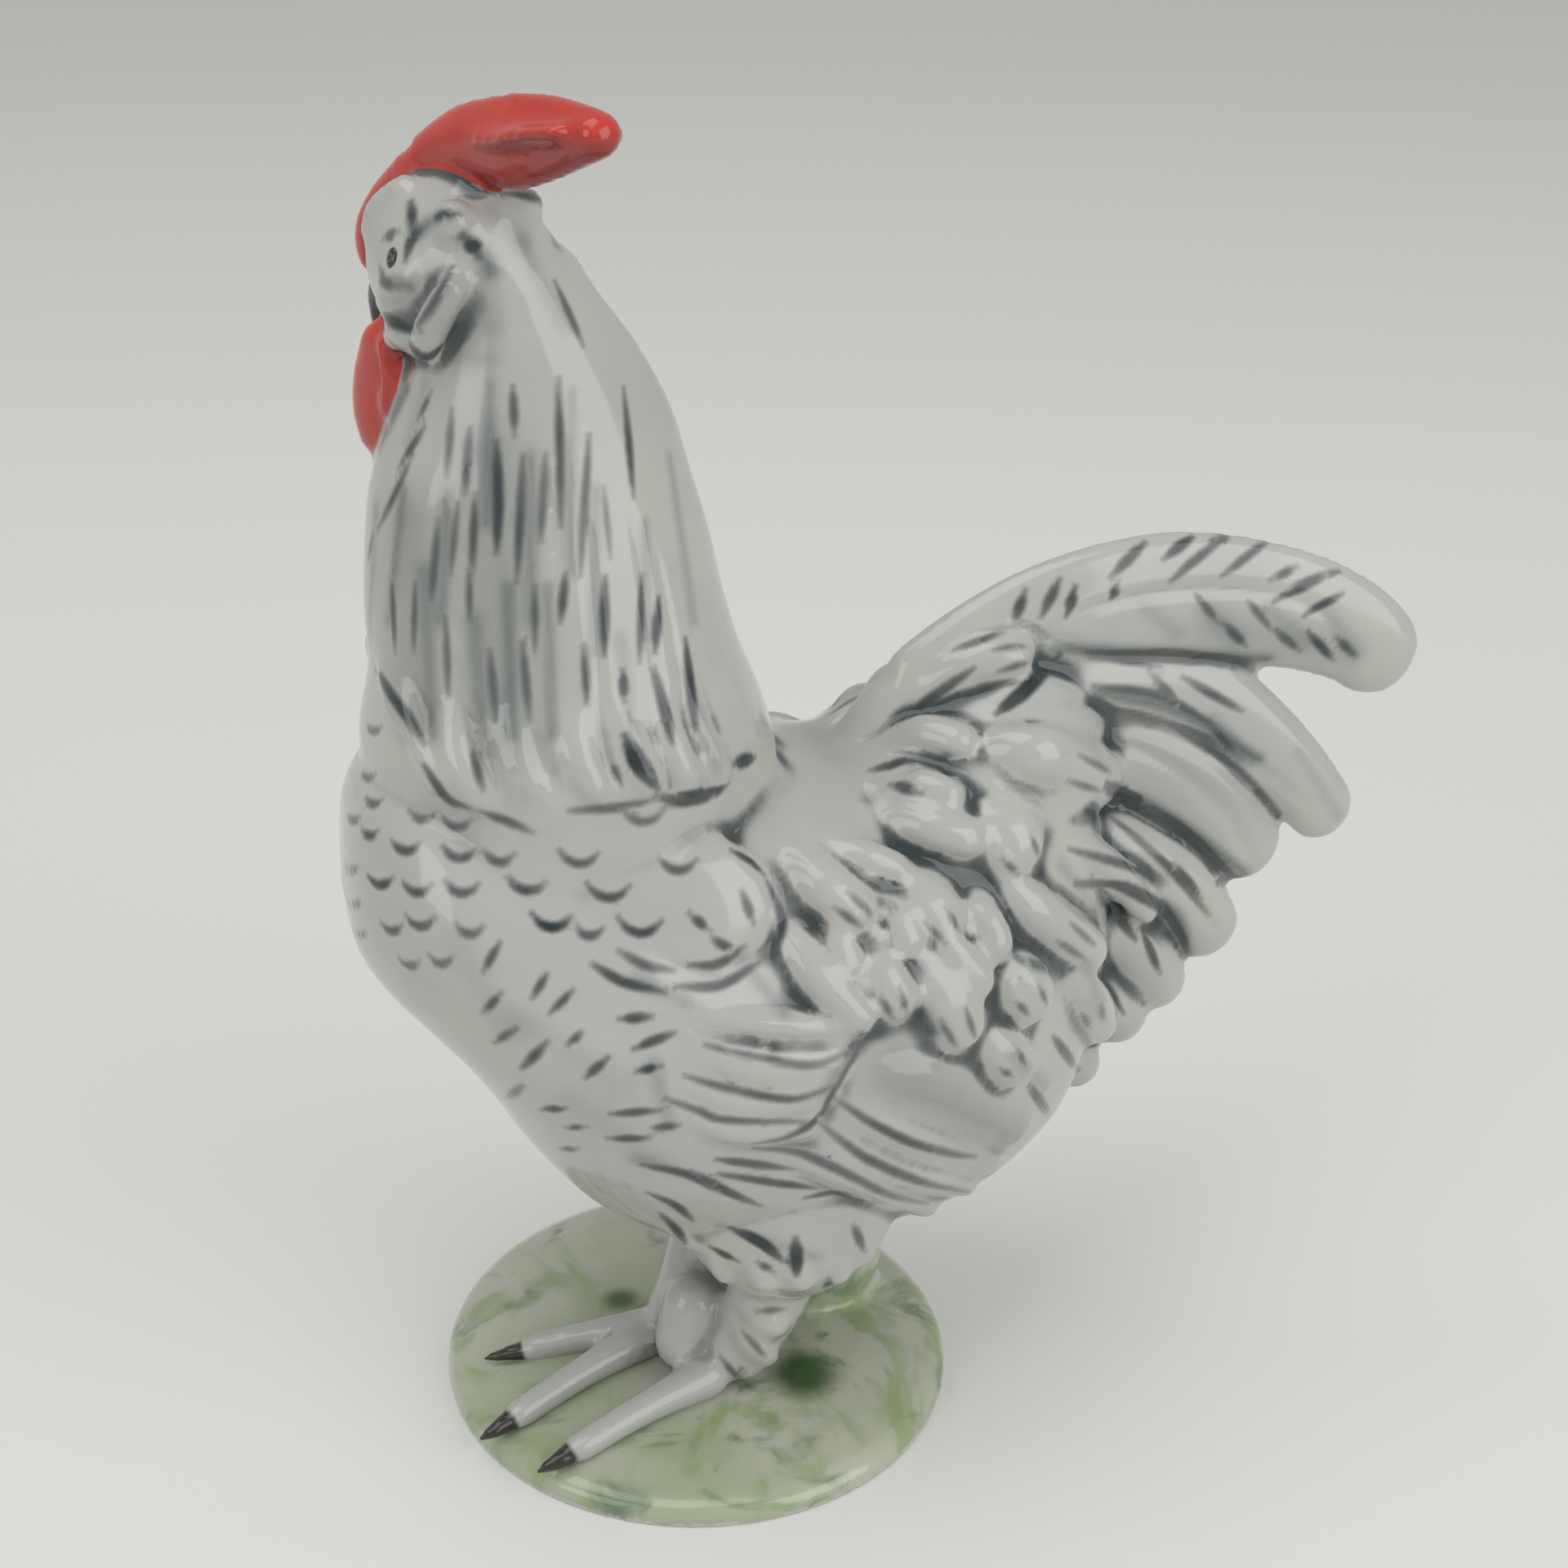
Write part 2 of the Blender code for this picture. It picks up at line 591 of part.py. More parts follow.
def mound():
    """Low oval mound with a rounded rim, and the rock that carries the body from below."""
    stations = []
    below = -2.0 * MM
    profile = (
        (below, 0.0),
        (below, 0.98),
        (0.25 * MOUND_RIM, 1.0),
        (0.75 * MOUND_RIM, 0.985),
        (MOUND_RIM, 0.94),
        (MOUND_RIM + 0.45 * MOUND_RISE, 0.80),
        (MOUND_RIM + 0.85 * MOUND_RISE, 0.50),
        (MOUND_TOP, 0.0),
    )
    for height, share in profile:
        reach = share * MOUND_LENGTH / 2
        aside = share * MOUND_DEPTH / 2
        stations.append(((0, 0, height), (reach, 0, 0), (-reach, 0, 0), (0, aside, 0)))
    table = np.array([np.concatenate(s) for s in stations])
    turn = np.linspace(0, 2 * np.pi, 56, endpoint=False)[None, :, None]
    rings = table[:, None, :3] + table[:, None, 3:6] * np.cos(turn) + table[:, None, 9:] * np.sin(turn)
    skins = [closed_rings(rings)]
    foot = (MOUND_LENGTH * 0.24, MOUND_DEPTH * 0.10, 0)
    shoulder = (foot[0] + 0.1 * SUPPORT_RADIUS, foot[1], MOUND_TOP + GROUND_CLEARANCE * 0.45)
    seat = on_trunk(0.62, 0.16, 0.10)
    radii = np.array((1.75, 1.15, 1.0)) * SUPPORT_RADIUS
    skins.append(sweep([foot, shoulder, seat], radii, radii, steps=16, around=20))
    return skins


def skinned(name, skins):
    """One object whose skin wraps all the given forms, eased where they meet."""
    vertices, faces = joined(skins)
    mesh = bpy.data.meshes.new(name)
    mesh.from_pydata([tuple(v) for v in vertices], [], faces)
    piece = bpy.data.objects.new(name, mesh)
    bpy.context.scene.collection.objects.link(piece)
    wrap = piece.modifiers.new("Wrap", "REMESH")
    wrap.mode = "VOXEL"
    wrap.voxel_size = SKIN_GRID
    ease = piece.modifiers.new("Ease", "SMOOTH")
    ease.factor = 0.5
    ease.iterations = SKIN_EASING
    graph = bpy.context.evaluated_depsgraph_get()
    wrapped = bpy.data.meshes.new_from_object(piece.evaluated_get(graph))
    piece.modifiers.clear()
    piece.data = wrapped
    bpy.data.meshes.remove(mesh)
    return piece


def thinned(piece, triangles):
    """Fewer, larger facets, kept where the form turns."""
    fewer = piece.modifiers.new("Fewer", "DECIMATE")
    count = sum(len(p.vertices) - 2 for p in piece.data.polygons)
    fewer.ratio = min(1.0, triangles / count)
    graph = bpy.context.evaluated_depsgraph_get()
    mesh = bpy.data.meshes.new_from_object(piece.evaluated_get(graph))
    piece.modifiers.clear()
    piece.data = mesh


def flat_underside(piece):
    """Cuts the skin off level at the underside and closes the cut."""
    form = bmesh.new()
    form.from_mesh(piece.data)
    every = form.verts[:] + form.edges[:] + form.faces[:]
    bmesh.ops.bisect_plane(
        form, geom=every, dist=1e-7, plane_co=(0, 0, 0), plane_no=(0, 0, 1), clear_inner=True
    )
    open_edges = [edge for edge in form.edges if len(edge.link_faces) == 1]
    bmesh.ops.holes_fill(form, edges=open_edges, sides=0)
    bmesh.ops.triangulate(form, faces=form.faces[:])
    form.to_mesh(piece.data)
    form.free()


def vented(piece):
    """Sinks the small round vent of a cast piece into the underside, clear of its centre."""
    form = bmesh.new()
    bmesh.ops.create_cone(
        form, cap_ends=True, segments=24, radius1=VENT_RADIUS, radius2=VENT_RADIUS, depth=2 * VENT_DEPTH
    )
    bmesh.ops.translate(form, verts=form.verts[:], vec=(VENT_PLACE, 0, 0))
    mesh = bpy.data.meshes.new("vent")
    form.to_mesh(mesh)
    form.free()
    cutter = bpy.data.objects.new("vent", mesh)
    bpy.context.scene.collection.objects.link(cutter)
    cut = piece.modifiers.new("Vent", "BOOLEAN")
    cut.operation = "DIFFERENCE"
    cut.solver = "EXACT"
    cut.object = cutter
    graph = bpy.context.evaluated_depsgraph_get()
    piece.data = bpy.data.meshes.new_from_object(piece.evaluated_get(graph))
    piece.modifiers.clear()
    bpy.data.objects.remove(cutter)


def glaze(name, colour, roughness):
    material = bpy.data.materials.new(name)
    material.use_nodes = True
    shader = material.node_tree.nodes["Principled BSDF"]
    shader.inputs["Base Color"].default_value = (*colour, 1)
    shader.inputs["Roughness"].default_value = roughness
    shader.inputs["Metallic"].default_value = 0.0
    return material


def painted(piece, coats):
    """Gives each facet the glaze of the form that it lies nearest."""
    trees = []
    for material, skins in coats:
        piece.data.materials.append(material)
        trees.append(tree_of(skins))
    for facet in piece.data.polygons:
        gaps = [tree.find_nearest(facet.center)[3] for tree in trees]
        facet.material_index = gaps.index(min(gaps))


def main():
    for item in list(bpy.data.objects):
        bpy.data.objects.remove(item)
    near, near_claws = leg(NEAR_ANKLE, NEAR_TOES, -1)
    far, far_claws = leg(FAR_ANKLE, FAR_TOES, 1)
    carcass = [trunk(), neck(), saddle()] + tail() + thighs()
    flank = plumage(tree_of(carcass))
    boots = feathers(tree_of(near), BOOT_FEATHERS, BOOT_RELIEF)
    white = carcass + flank + skull() + near + far + boots
    red = comb() + wattles()
    dark = beak() + near_claws + far_claws
    green = mound()
    piece = skinned("rooster", white + red + dark + green)
    thinned(piece, SKIN_TRIANGLES)
    flat_underside(piece)
    vented(piece)
    coats = (
        (glaze("white_glaze", (0.66, 0.69, 0.68), 0.12), white),
        (glaze("red_glaze", (0.62, 0.07, 0.05), 0.15), red),
        (glaze("black_glaze", (0.03, 0.03, 0.03), 0.2), dark),
        (glaze("green_glaze", (0.36, 0.42, 0.26), 0.15), green),
    )
    painted(piece, coats)


if __name__ == "__main__":
    main()
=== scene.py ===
"""Glazed porcelain rooster on a low green mound, one slip-cast piece with painted feathers.

The bird faces -X. Forms are lofts and swept feathers worked out with numpy and wrapped in one skin;
brush strokes are laid on that skin along sight lines and kept as distances on its vertices.
"""

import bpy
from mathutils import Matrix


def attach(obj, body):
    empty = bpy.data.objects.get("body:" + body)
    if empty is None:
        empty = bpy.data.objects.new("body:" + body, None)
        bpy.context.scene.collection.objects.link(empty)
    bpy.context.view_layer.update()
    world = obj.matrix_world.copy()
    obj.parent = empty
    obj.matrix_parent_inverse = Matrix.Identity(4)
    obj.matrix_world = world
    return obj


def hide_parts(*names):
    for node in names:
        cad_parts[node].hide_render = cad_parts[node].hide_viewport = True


bl_info = {
    "name": "Porcelain Rooster",
    "version": (1, 0, 0),
    "blender": (4, 5, 0),
    "location": "View3D > Sidebar > Rooster",
    "description": "Builds a glazed porcelain rooster figurine and its pale studio stage",
    "category": "Add Mesh",
}

import math

import bmesh
import bpy
import numpy as np
from mathutils import Matrix, Vector
from mathutils.bvhtree import BVHTree
from mathutils.kdtree import KDTree

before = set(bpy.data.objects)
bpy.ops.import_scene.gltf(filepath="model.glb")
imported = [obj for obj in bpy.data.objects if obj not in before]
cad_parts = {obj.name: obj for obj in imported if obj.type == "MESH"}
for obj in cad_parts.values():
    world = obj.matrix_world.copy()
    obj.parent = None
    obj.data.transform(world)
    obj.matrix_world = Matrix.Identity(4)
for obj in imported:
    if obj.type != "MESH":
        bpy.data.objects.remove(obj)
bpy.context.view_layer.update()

MM = 0.001

# Mound
MOUND_LENGTH = 60.0 * MM
MOUND_DEPTH = 64.0 * MM
MOUND_RIM = 3.0 * MM
MOUND_RISE = 2.2 * MM
MOUND_TOP = MOUND_RIM + MOUND_RISE
SUPPORT_RADIUS = 8.5 * MM

# Trunk
GROUND_CLEARANCE = 17.0 * MM
TRUNK_LENGTH = 86.0 * MM
TRUNK_HEIGHT = 60.0 * MM
TRUNK_WIDTH = 55.0 * MM
TRUNK_FRONT = -38.2 * MM
TRUNK_BOTTOM = MOUND_TOP + GROUND_CLEARANCE
BIRD_OFFSET = -3.3 * MM

# Neck and head
NECK_RISE = 53.0 * MM
NECK_DEPTH = 45.0 * MM
NECK_WIDTH = 43.0 * MM
NECK_FOOT = TRUNK_BOTTOM + TRUNK_HEIGHT
HEAD_LENGTH = 21.0 * MM
HEAD_WIDTH = 16.4 * MM
HEAD_HEIGHT = 18.5 * MM
HEAD_TURN = math.radians(60)
HEAD_CENTRE = (
    TRUNK_FRONT + 0.36 * NECK_DEPTH,
    BIRD_OFFSET,
    NECK_FOOT + 0.99 * NECK_RISE,
)
BEAK_LENGTH = 6.8 * MM
BEAK_RADIUS = 2.7 * MM
COMB_HEIGHT = 9.5 * MM
COMB_THICKNESS = 4.6 * MM
WATTLE_LENGTH = 14.5 * MM
WATTLE_WIDTH = 8.4 * MM
WATTLE_THICKNESS = 3.6 * MM
EYE_RADIUS = 0.95 * MM

# Tail
TAIL_LENGTH = 64.0 * MM
TAIL_HEIGHT = 73.0 * MM
TAIL_ROOT_THICKNESS = 26.0 * MM
TAIL_TIP_THICKNESS = 4.4 * MM

# Legs
SHANK_RADIUS = 4.2 * MM
TOE_RADIUS = 1.9 * MM
CLAW_RADIUS = 1.25 * MM
CLAW_LENGTH = 4.6 * MM

# The picture: where the viewer stands, how far the view turns and dips, and its size in pixels
VIEWER = np.array((-54.007, -242.898, 186.4)) * MM
VIEW_TURN = math.radians(15)
VIEW_DIP = math.radians(24)
PICTURE = 1920
FOCAL_PIXELS = 3045.0
PIXEL = 1 / 12.1 * MM
NEAR_EYE = (480, 316)

# A sight line that misses moves by this share towards the middle of the bird, so many times
BIRD_MIDDLE = np.array((900.0, 1000.0))
MISS_SHARE = 0.02
MISS_STEPS = 14

# The picture's own axes
RIGHT = np.array((math.cos(VIEW_TURN), -math.sin(VIEW_TURN), 0.0))
FORWARD = np.array(
    (
        math.sin(VIEW_TURN) * math.cos(VIEW_DIP),
        math.cos(VIEW_TURN) * math.cos(VIEW_DIP),
        -math.sin(VIEW_DIP),
    )
)
UPWARD = np.cross(RIGHT, FORWARD)


def curve(points, steps, eased_ends=True):
    """Catmull-Rom curve: each span is the cubic through two points, sloped by their neighbours.

    With eased ends, samples follow a half cosine, so that they crowd where a feather rounds off.
    """
    points = np.asarray(points, float)
    count = len(points)
    share = np.linspace(0, 1, steps)
    if eased_ends:
        share = (1 - np.cos(np.pi * share)) / 2
    place = share * (count - 1)
    low = np.clip(place.astype(int), 0, count - 2)
    t = (place - low)[:, None]
    padded = np.vstack([2 * points[0] - points[1], points, 2 * points[-1] - points[-2]])
    a, b, c, d = (padded[low + k] for k in range(4))
    return b + t * ((c - a) + t * ((2 * a - 5 * b + 4 * c - d) + t * (3 * b - a - 3 * c + d))) / 2


def closed_rings(rings):
    """Vertices and triangles of a closed skin over rings that start and end in points."""
    count, around = rings.shape[:2]
    vertices = np.vstack([rings[0, :1], rings[1:-1].reshape(-1, 3), rings[-1, :1]])
    index = 1 + np.arange((count - 2) * around).reshape(count - 2, around)
    beside = np.roll(index, -1, axis=1)
    a, b, c, d = index[:-1], beside[:-1], beside[1:], index[1:]
    sides = np.concatenate(
        [np.stack([a, b, c], -1).reshape(-1, 3), np.stack([a, c, d], -1).reshape(-1, 3)]
    )
    pole, last = np.zeros_like(index[0]), np.full_like(index[0], len(vertices) - 1)
    caps = np.concatenate(
        [np.stack([pole, beside[0], index[0]], -1), np.stack([last, index[-1], beside[-1]], -1)]
    )
    faces = np.concatenate([sides, caps])
    corners = vertices[faces]
    volume = np.einsum("ij,ij->", corners[:, 0], np.cross(corners[:, 1], corners[:, 2]))
    return vertices, faces if volume > 0 else faces[:, ::-1]


def loft(stations, steps=80, around=72):
    """A closed skin: a ring is its centre, cosine times ahead or behind, and sine times aside."""
    table = curve([np.concatenate([np.asarray(v, float) for v in s]) for s in stations], steps)
    centre, ahead, behind, aside = (table[:, None, k : k + 3] for k in (0, 3, 6, 9))
    turn = np.linspace(0, 2 * np.pi, around, endpoint=False)[None, :, None]
    along = np.where(np.cos(turn) >= 0, ahead, -behind) * np.cos(turn)
    return closed_rings(centre + along + aside * np.sin(turn))


def sweep(points, across, thick, side=(0, 1, 0), steps=44, around=24):
    """An ellipse carried along a path, its half-axes shrinking at each end as a circle's do."""
    count = len(points)
    table = np.column_stack([points, np.broadcast_to(across, count), np.broadcast_to(thick, count)])
    table = curve(table, steps)
    path, across, thick = table[:, :3], table[:, 3], table[:, 4]
    tangent = np.gradient(path, axis=0)
    tangent /= np.linalg.norm(tangent, axis=1, keepdims=True)
    out = np.asarray(side, float) - tangent * (tangent @ np.asarray(side, float))[:, None]
    out /= np.linalg.norm(out, axis=1, keepdims=True)
    flat = np.cross(tangent, out)
    run = np.concatenate([[0], np.cumsum(np.linalg.norm(np.diff(path, axis=0), axis=1))])
    near_end = np.minimum(run / across[0], (run[-1] - run) / across[-1]).clip(0, 1)
    rounding = np.sqrt(1 - (1 - near_end) ** 2)
    turn = np.linspace(0, 2 * np.pi, around, endpoint=False)
    rings = (
        path[:, None]
        + flat[:, None] * (across * rounding)[:, None, None] * np.cos(turn)[None, :, None]
        + out[:, None] * (thick * rounding)[:, None, None] * np.sin(turn)[None, :, None]
    )
    return closed_rings(rings)


def joined(skins):
    """All the vertices and triangles of several skins as two arrays."""
    starts = np.cumsum([0] + [len(vertices) for vertices, _ in skins])
    vertices = np.concatenate([vertices for vertices, _ in skins])
    faces = np.concatenate([faces + start for (_, faces), start in zip(skins, starts)])
    return vertices, faces


def tree_of(skins):
    vertices, faces = joined(skins)
    return BVHTree.FromPolygons(vertices.tolist(), faces.tolist())


def bird(x, y, z):
    return (x, y + BIRD_OFFSET, z)


def on_trunk(along, height, aside=0.0):
    """A point at shares of the trunk's length and height, and of its half-width."""
    return bird(
        TRUNK_FRONT + along * TRUNK_LENGTH,
        aside * TRUNK_WIDTH / 2,
        TRUNK_BOTTOM + height * TRUNK_HEIGHT,
    )


# Trunk stations: share of length, lowest, widest and highest shares of height, share of half-width
TRUNK_STATIONS = (
    (0.000, 0.80, 0.80, 0.80, 0.00),
    (0.012, 0.68, 0.82, 0.96, 0.30),
    (0.045, 0.60, 0.80, 1.04, 0.54),
    (0.090, 0.53, 0.77, 1.08, 0.72),
    (0.145, 0.43, 0.72, 1.08, 0.84),
    (0.210, 0.27, 0.64, 1.06, 0.92),
    (0.290, 0.13, 0.58, 1.02, 0.98),
    (0.385, 0.04, 0.54, 0.97, 1.00),
    (0.490, 0.00, 0.52, 0.95, 1.00),
    (0.600, 0.00, 0.52, 0.94, 0.97),
    (0.700, -0.01, 0.54, 0.95, 0.89),
    (0.790, 0.01, 0.56, 0.98, 0.77),
    (0.870, 0.06, 0.58, 1.01, 0.61),
    (0.940, 0.15, 0.58, 0.96, 0.42),
    (0.985, 0.34, 0.56, 0.80, 0.22),
    (1.000, 0.56, 0.56, 0.56, 0.00),
)

# Neck stations: share of rise, front and rear as shares of the neck's depth, share of half-width
NECK_STATIONS = (
    (-0.62, 0.50, 0.50, 0.00),
    (-0.46, 0.24, 0.80, 0.80),
    (-0.26, 0.12, 0.90, 0.90),
    (-0.11, 0.07, 0.99, 0.95),
    (0.00, 0.07, 1.04, 0.95),
    (0.10, 0.07, 1.02, 0.92),
    (0.22, 0.10, 0.96, 0.83),
    (0.34, 0.10, 0.92, 0.76),
    (0.46, 0.11, 0.89, 0.70),
    (0.58, 0.13, 0.85, 0.65),
    (0.70, 0.18, 0.81, 0.60),
    (0.82, 0.23, 0.74, 0.54),
    (0.93, 0.26, 0.65, 0.48),
    (1.03, 0.26, 0.57, 0.40),
    (1.12, 0.40, 0.40, 0.00),
)


def trunk():
    """An ellipse at each station, from its lowest to its highest point."""
    stations = []
    for along, low, wide, high, half in TRUNK_STATIONS:
        up = (high - wide) * TRUNK_HEIGHT
        down = (wide - low) * TRUNK_HEIGHT
        stations.append(
            (on_trunk(along, wide), (0, 0, up), (0, 0, -down), (0, half * TRUNK_WIDTH / 2, 0))
        )
    return loft(stations)


def neck():
    """A level ellipse at each station, from its front to its rear."""
    stations = []
    for rise, front, rear, half in NECK_STATIONS:
        middle = (front + rear) / 2
        reach = (rear - front) / 2 * NECK_DEPTH
        centre = bird(TRUNK_FRONT + middle * NECK_DEPTH, 0, NECK_FOOT + rise * NECK_RISE)
        stations.append((centre, (-reach, 0, 0), (reach, 0, 0), (0, half * NECK_WIDTH / 2, 0)))
    return loft(stations)


def head_axis(forward, left):
    return np.array(
        (
            -forward * math.cos(HEAD_TURN) - left * math.sin(HEAD_TURN),
            forward * math.sin(HEAD_TURN) - left * math.cos(HEAD_TURN),
            0.0,
        )
    )


def in_head(forward, left, up):
    """A point at shares of the head's half-length, half-width and half-height from its centre."""
    level = head_axis(forward * HEAD_LENGTH / 2, left * HEAD_WIDTH / 2)
    return np.array(HEAD_CENTRE) + level + np.array((0, 0, up * HEAD_HEIGHT / 2))


# Swellings on each side of the head: path in shares of its half-sizes, then radii
HEAD_SWELLINGS = (
    (((0.70, 0.50, 0.02), (0.62, 0.54, 0.46), (0.12, 0.48, 0.86)), (1.5, 1.8, 1.7)),
    (((0.44, 0.66, -0.44), (0.08, 0.88, -0.14), (-0.34, 0.84, 0.12)), (1.5, 1.9, 1.7)),
    (((0.38, 0.62, -0.58), (0.10, 0.74, -0.62), (-0.10, 0.66, -0.56)), (1.7, 2.0, 1.6)),
    (((-0.62, 0.60, 0.40), (-0.54, 0.62, 0.60), (-0.44, 0.50, 0.78)), (1.9, 2.1, 1.7)),
    (((-0.80, 0.84, 0.10), (-0.53, 0.96, -0.34), (-0.24, 0.92, -0.80)), (1.35, 1.6, 1.6)),
)


def skull():
    """An ellipsoid with, on each side, the brow, cheek, jowl, ear tuft and ear lobe."""
    stations = []
    for k in np.linspace(-1, 1, 9):
        half = math.sqrt(max(0.0, 1 - k * k))
        up = half * HEAD_HEIGHT / 2
        wide = head_axis(0, 1) * half * HEAD_WIDTH / 2
        stations.append((in_head(k, 0, 0), (0, 0, up), (0, 0, -up), wide))
    skins = [loft(stations, steps=48, around=48)]
    for side, sunk in ((1, 0.0), (-1, 0.22)):
        for path, radii in HEAD_SWELLINGS:
            points = [in_head(forward, side * (left - sunk), up) for forward, left, up in path]
            radii = np.array(radii) * MM
            skins.append(sweep(points, radii, radii, head_axis(0, side), steps=30, around=20))
    return skins


def beak():
    root = in_head(0.70, 0, -0.40)
    ahead = head_axis(1, 0)
    down = np.array((0, 0, -1.0))
    bend = root + (0.88 * ahead + 0.16 * down) * BEAK_LENGTH
    tip = root + (0.98 * ahead + 0.88 * down) * BEAK_LENGTH
    radii = np.array((1.1, 0.62, 0.26)) * BEAK_RADIUS
    return [sweep([root, bend, tip], radii, 0.85 * radii, head_axis(0, 1))]


# Comb line: forward and left shares of the head's half-sizes, then the height of its middle above
# the crown and its half-height as shares of the comb's height
COMB_LINE = (
    (1.28, 0.00, -1.30, 0.20),
    (1.33, 0.00, -0.92, 0.27),
    (1.10, 0.00, -0.54, 0.24),
    (0.73, 0.02, -0.22, 0.23),
    (0.40, 0.02, 0.05, 0.24),
    (-0.20, 0.04, 0.27, 0.37),
    (-0.84, 0.08, 0.35, 0.46),
    (-1.45, 0.12, 0.49, 0.41),
    (-2.00, 0.16, 0.58, 0.27),
    (-2.30, 0.18, 0.62, 0.18),
)


def comb():
    """A thick blade with a ridge along each side that parts its upper from its lower face."""
    crown = HEAD_CENTRE[2] + HEAD_HEIGHT / 2
    points, halves = [], []
    for forward, left, middle, half in COMB_LINE:
        x, y, _ = in_head(forward, left, 0)
        points.append((x, y, crown + middle * COMB_HEIGHT))
        halves.append(half * COMB_HEIGHT)
    thick = np.linspace(0.7, 1.0, len(points)) * COMB_THICKNESS / 2
    skins = [sweep(points, halves, thick, head_axis(0, 1), steps=70, around=32)]
    ridge = []
    for forward, left, middle, _ in COMB_LINE[5:-1]:
        x, y, _ = in_head(forward, left, 0)
        ridge.append((x, y, crown + (middle + 0.06) * COMB_HEIGHT))
    ridge_thick = np.array((0.7, 1.3, 1.75, 1.5)) * COMB_THICKNESS / 2
    skins.append(sweep(ridge, 0.12 * COMB_HEIGHT, ridge_thick, head_axis(0, 1)))
    return skins


# Wattles: side, share left of the beak, and how far behind the near one's drawn place each hangs
WATTLE_PLACES = ((1, 0.62, 0.25), (-1, 0.34, 0.10))


def wattles():
    """The two lobes that hang under the beak, fullest below their middle, with a fold down each."""
    drop = 2 * WATTLE_LENGTH / HEAD_HEIGHT
    skins = []
    for side, left, back in WATTLE_PLACES:
        points = [
            in_head(forward - back, side * left, -0.60 - share * drop)
            for forward, share in ((0.80, 0.0), (0.88, 0.33), (0.99, 0.68), (0.93, 1.0))
        ]
        widths = np.array((0.55, 0.95, 1.0, 0.60)) * WATTLE_WIDTH / 2
        skins.append(sweep(points, widths, WATTLE_THICKNESS / 2, head_axis(0, side)))
        fold = [
            in_head(forward - back, side * (left + 0.16), -0.60 - share * drop)
            for forward, share in ((0.66, 0.06), (0.58, 0.34), (0.70, 0.62))
        ]
        skins.append(sweep(fold, 0.9 * MM, WATTLE_THICKNESS * 0.40, head_axis(0, side)))
    return skins


TAIL_ROOT = on_trunk(0.68, 0.0)[0]
TAIL_LOW = TRUNK_BOTTOM + 0.10 * TRUNK_HEIGHT

# Tail feathers, top to bottom: half-widths at the root, the middle and the tip as shares of the
# tail's length, share of its root thickness, then the path as shares of its length and height
TAIL_FEATHERS = (
    ((0.1, 0.13, 0.075), 0.26, (-0.05, 0.66), (0.1, 0.77), (0.3, 0.86), (0.52, 0.885),
     (0.74, 0.86), (0.9, 0.8), (0.985, 0.715)),
    ((0.08, 0.096, 0.062), 0.34, (0.0, 0.6), (0.2, 0.7), (0.4, 0.76), (0.6, 0.72), (0.76, 0.61),
     (0.895, 0.47)),
    ((0.08, 0.092, 0.07), 0.44, (0.0, 0.54), (0.18, 0.62), (0.36, 0.66), (0.52, 0.62),
     (0.66, 0.52), (0.745, 0.41)),
    ((0.08, 0.086, 0.065), 0.54, (0.0, 0.46), (0.18, 0.52), (0.34, 0.53), (0.48, 0.47),
     (0.6, 0.38), (0.675, 0.275)),
    ((0.08, 0.078, 0.055), 0.62, (0.0, 0.38), (0.16, 0.42), (0.3, 0.42), (0.43, 0.36),
     (0.52, 0.28), (0.585, 0.19)),
    ((0.07, 0.08, 0.05), 0.68, (0.0, 0.3), (0.14, 0.33), (0.27, 0.32), (0.38, 0.26), (0.46, 0.2),
     (0.52, 0.14)),
    ((0.07, 0.07, 0.045), 0.72, (0.0, 0.22), (0.12, 0.24), (0.24, 0.21), (0.34, 0.15),
     (0.44, 0.07)),
)


def tail():
    skins = []
    for (root, middle, tip), share, *path in TAIL_FEATHERS:
        points = [
            bird(TAIL_ROOT + along * TAIL_LENGTH, 0, TAIL_LOW + height * TAIL_HEIGHT)
            for along, height in path
        ]
        place = np.linspace(0, 1, len(points))
        widths = np.interp(place, (0, 0.5, 1), (root, middle, tip)) * TAIL_LENGTH
        thick = np.interp(place, (0, 1), (share * TAIL_ROOT_THICKNESS, TAIL_TIP_THICKNESS)) / 2
        skins.append(sweep(points, widths, thick, steps=60, around=36))
    return skins


def saddle():
    path = ((0.56, 0.60), (0.70, 0.74), (0.84, 0.90), (0.98, 1.00))
    points = [on_trunk(along, height) for along, height in path]
    widths = np.array((0.30, 0.26, 0.20, 0.14)) * TRUNK_HEIGHT
    thick = np.array((0.78, 0.72, 0.52, 0.30)) * TRUNK_WIDTH / 2
    return sweep(points, widths, thick, steps=50, around=44)


def shoulders():
    """The broad back where the mantle, the shoulders and the saddle meet."""
    points = [on_trunk(0.26, 0.76), on_trunk(0.46, 0.78), on_trunk(0.70, 0.80)]
    widths = np.array((0.20, 0.20, 0.16)) * TRUNK_HEIGHT
    return sweep(points, widths, 0.80 * TRUNK_WIDTH / 2, around=44)


def thighs():
    skins = []
    for side in (-1, 1):
        points = [
            on_trunk(0.50, 0.42, side * 0.42),
            on_trunk(0.53, 0.16, side * 0.44),
            on_trunk(0.56, -0.06, side * 0.42),
        ]
        radii = np.array((0.25, 0.22, 0.13)) * TRUNK_HEIGHT
        skins.append(sweep(points, radii, radii * 0.82, around=36))
    return skins


NEAR_ANKLE = (0.5 * MM, -12.5 * MM)
FAR_ANKLE = (-4.5 * MM, -3.0 * MM)
NEAR_TOES = ((-19.5 * MM, -20.5 * MM),)
FAR_TOES = ((-21.5 * MM, -0.5 * MM), (-25.0 * MM, -13.0 * MM))


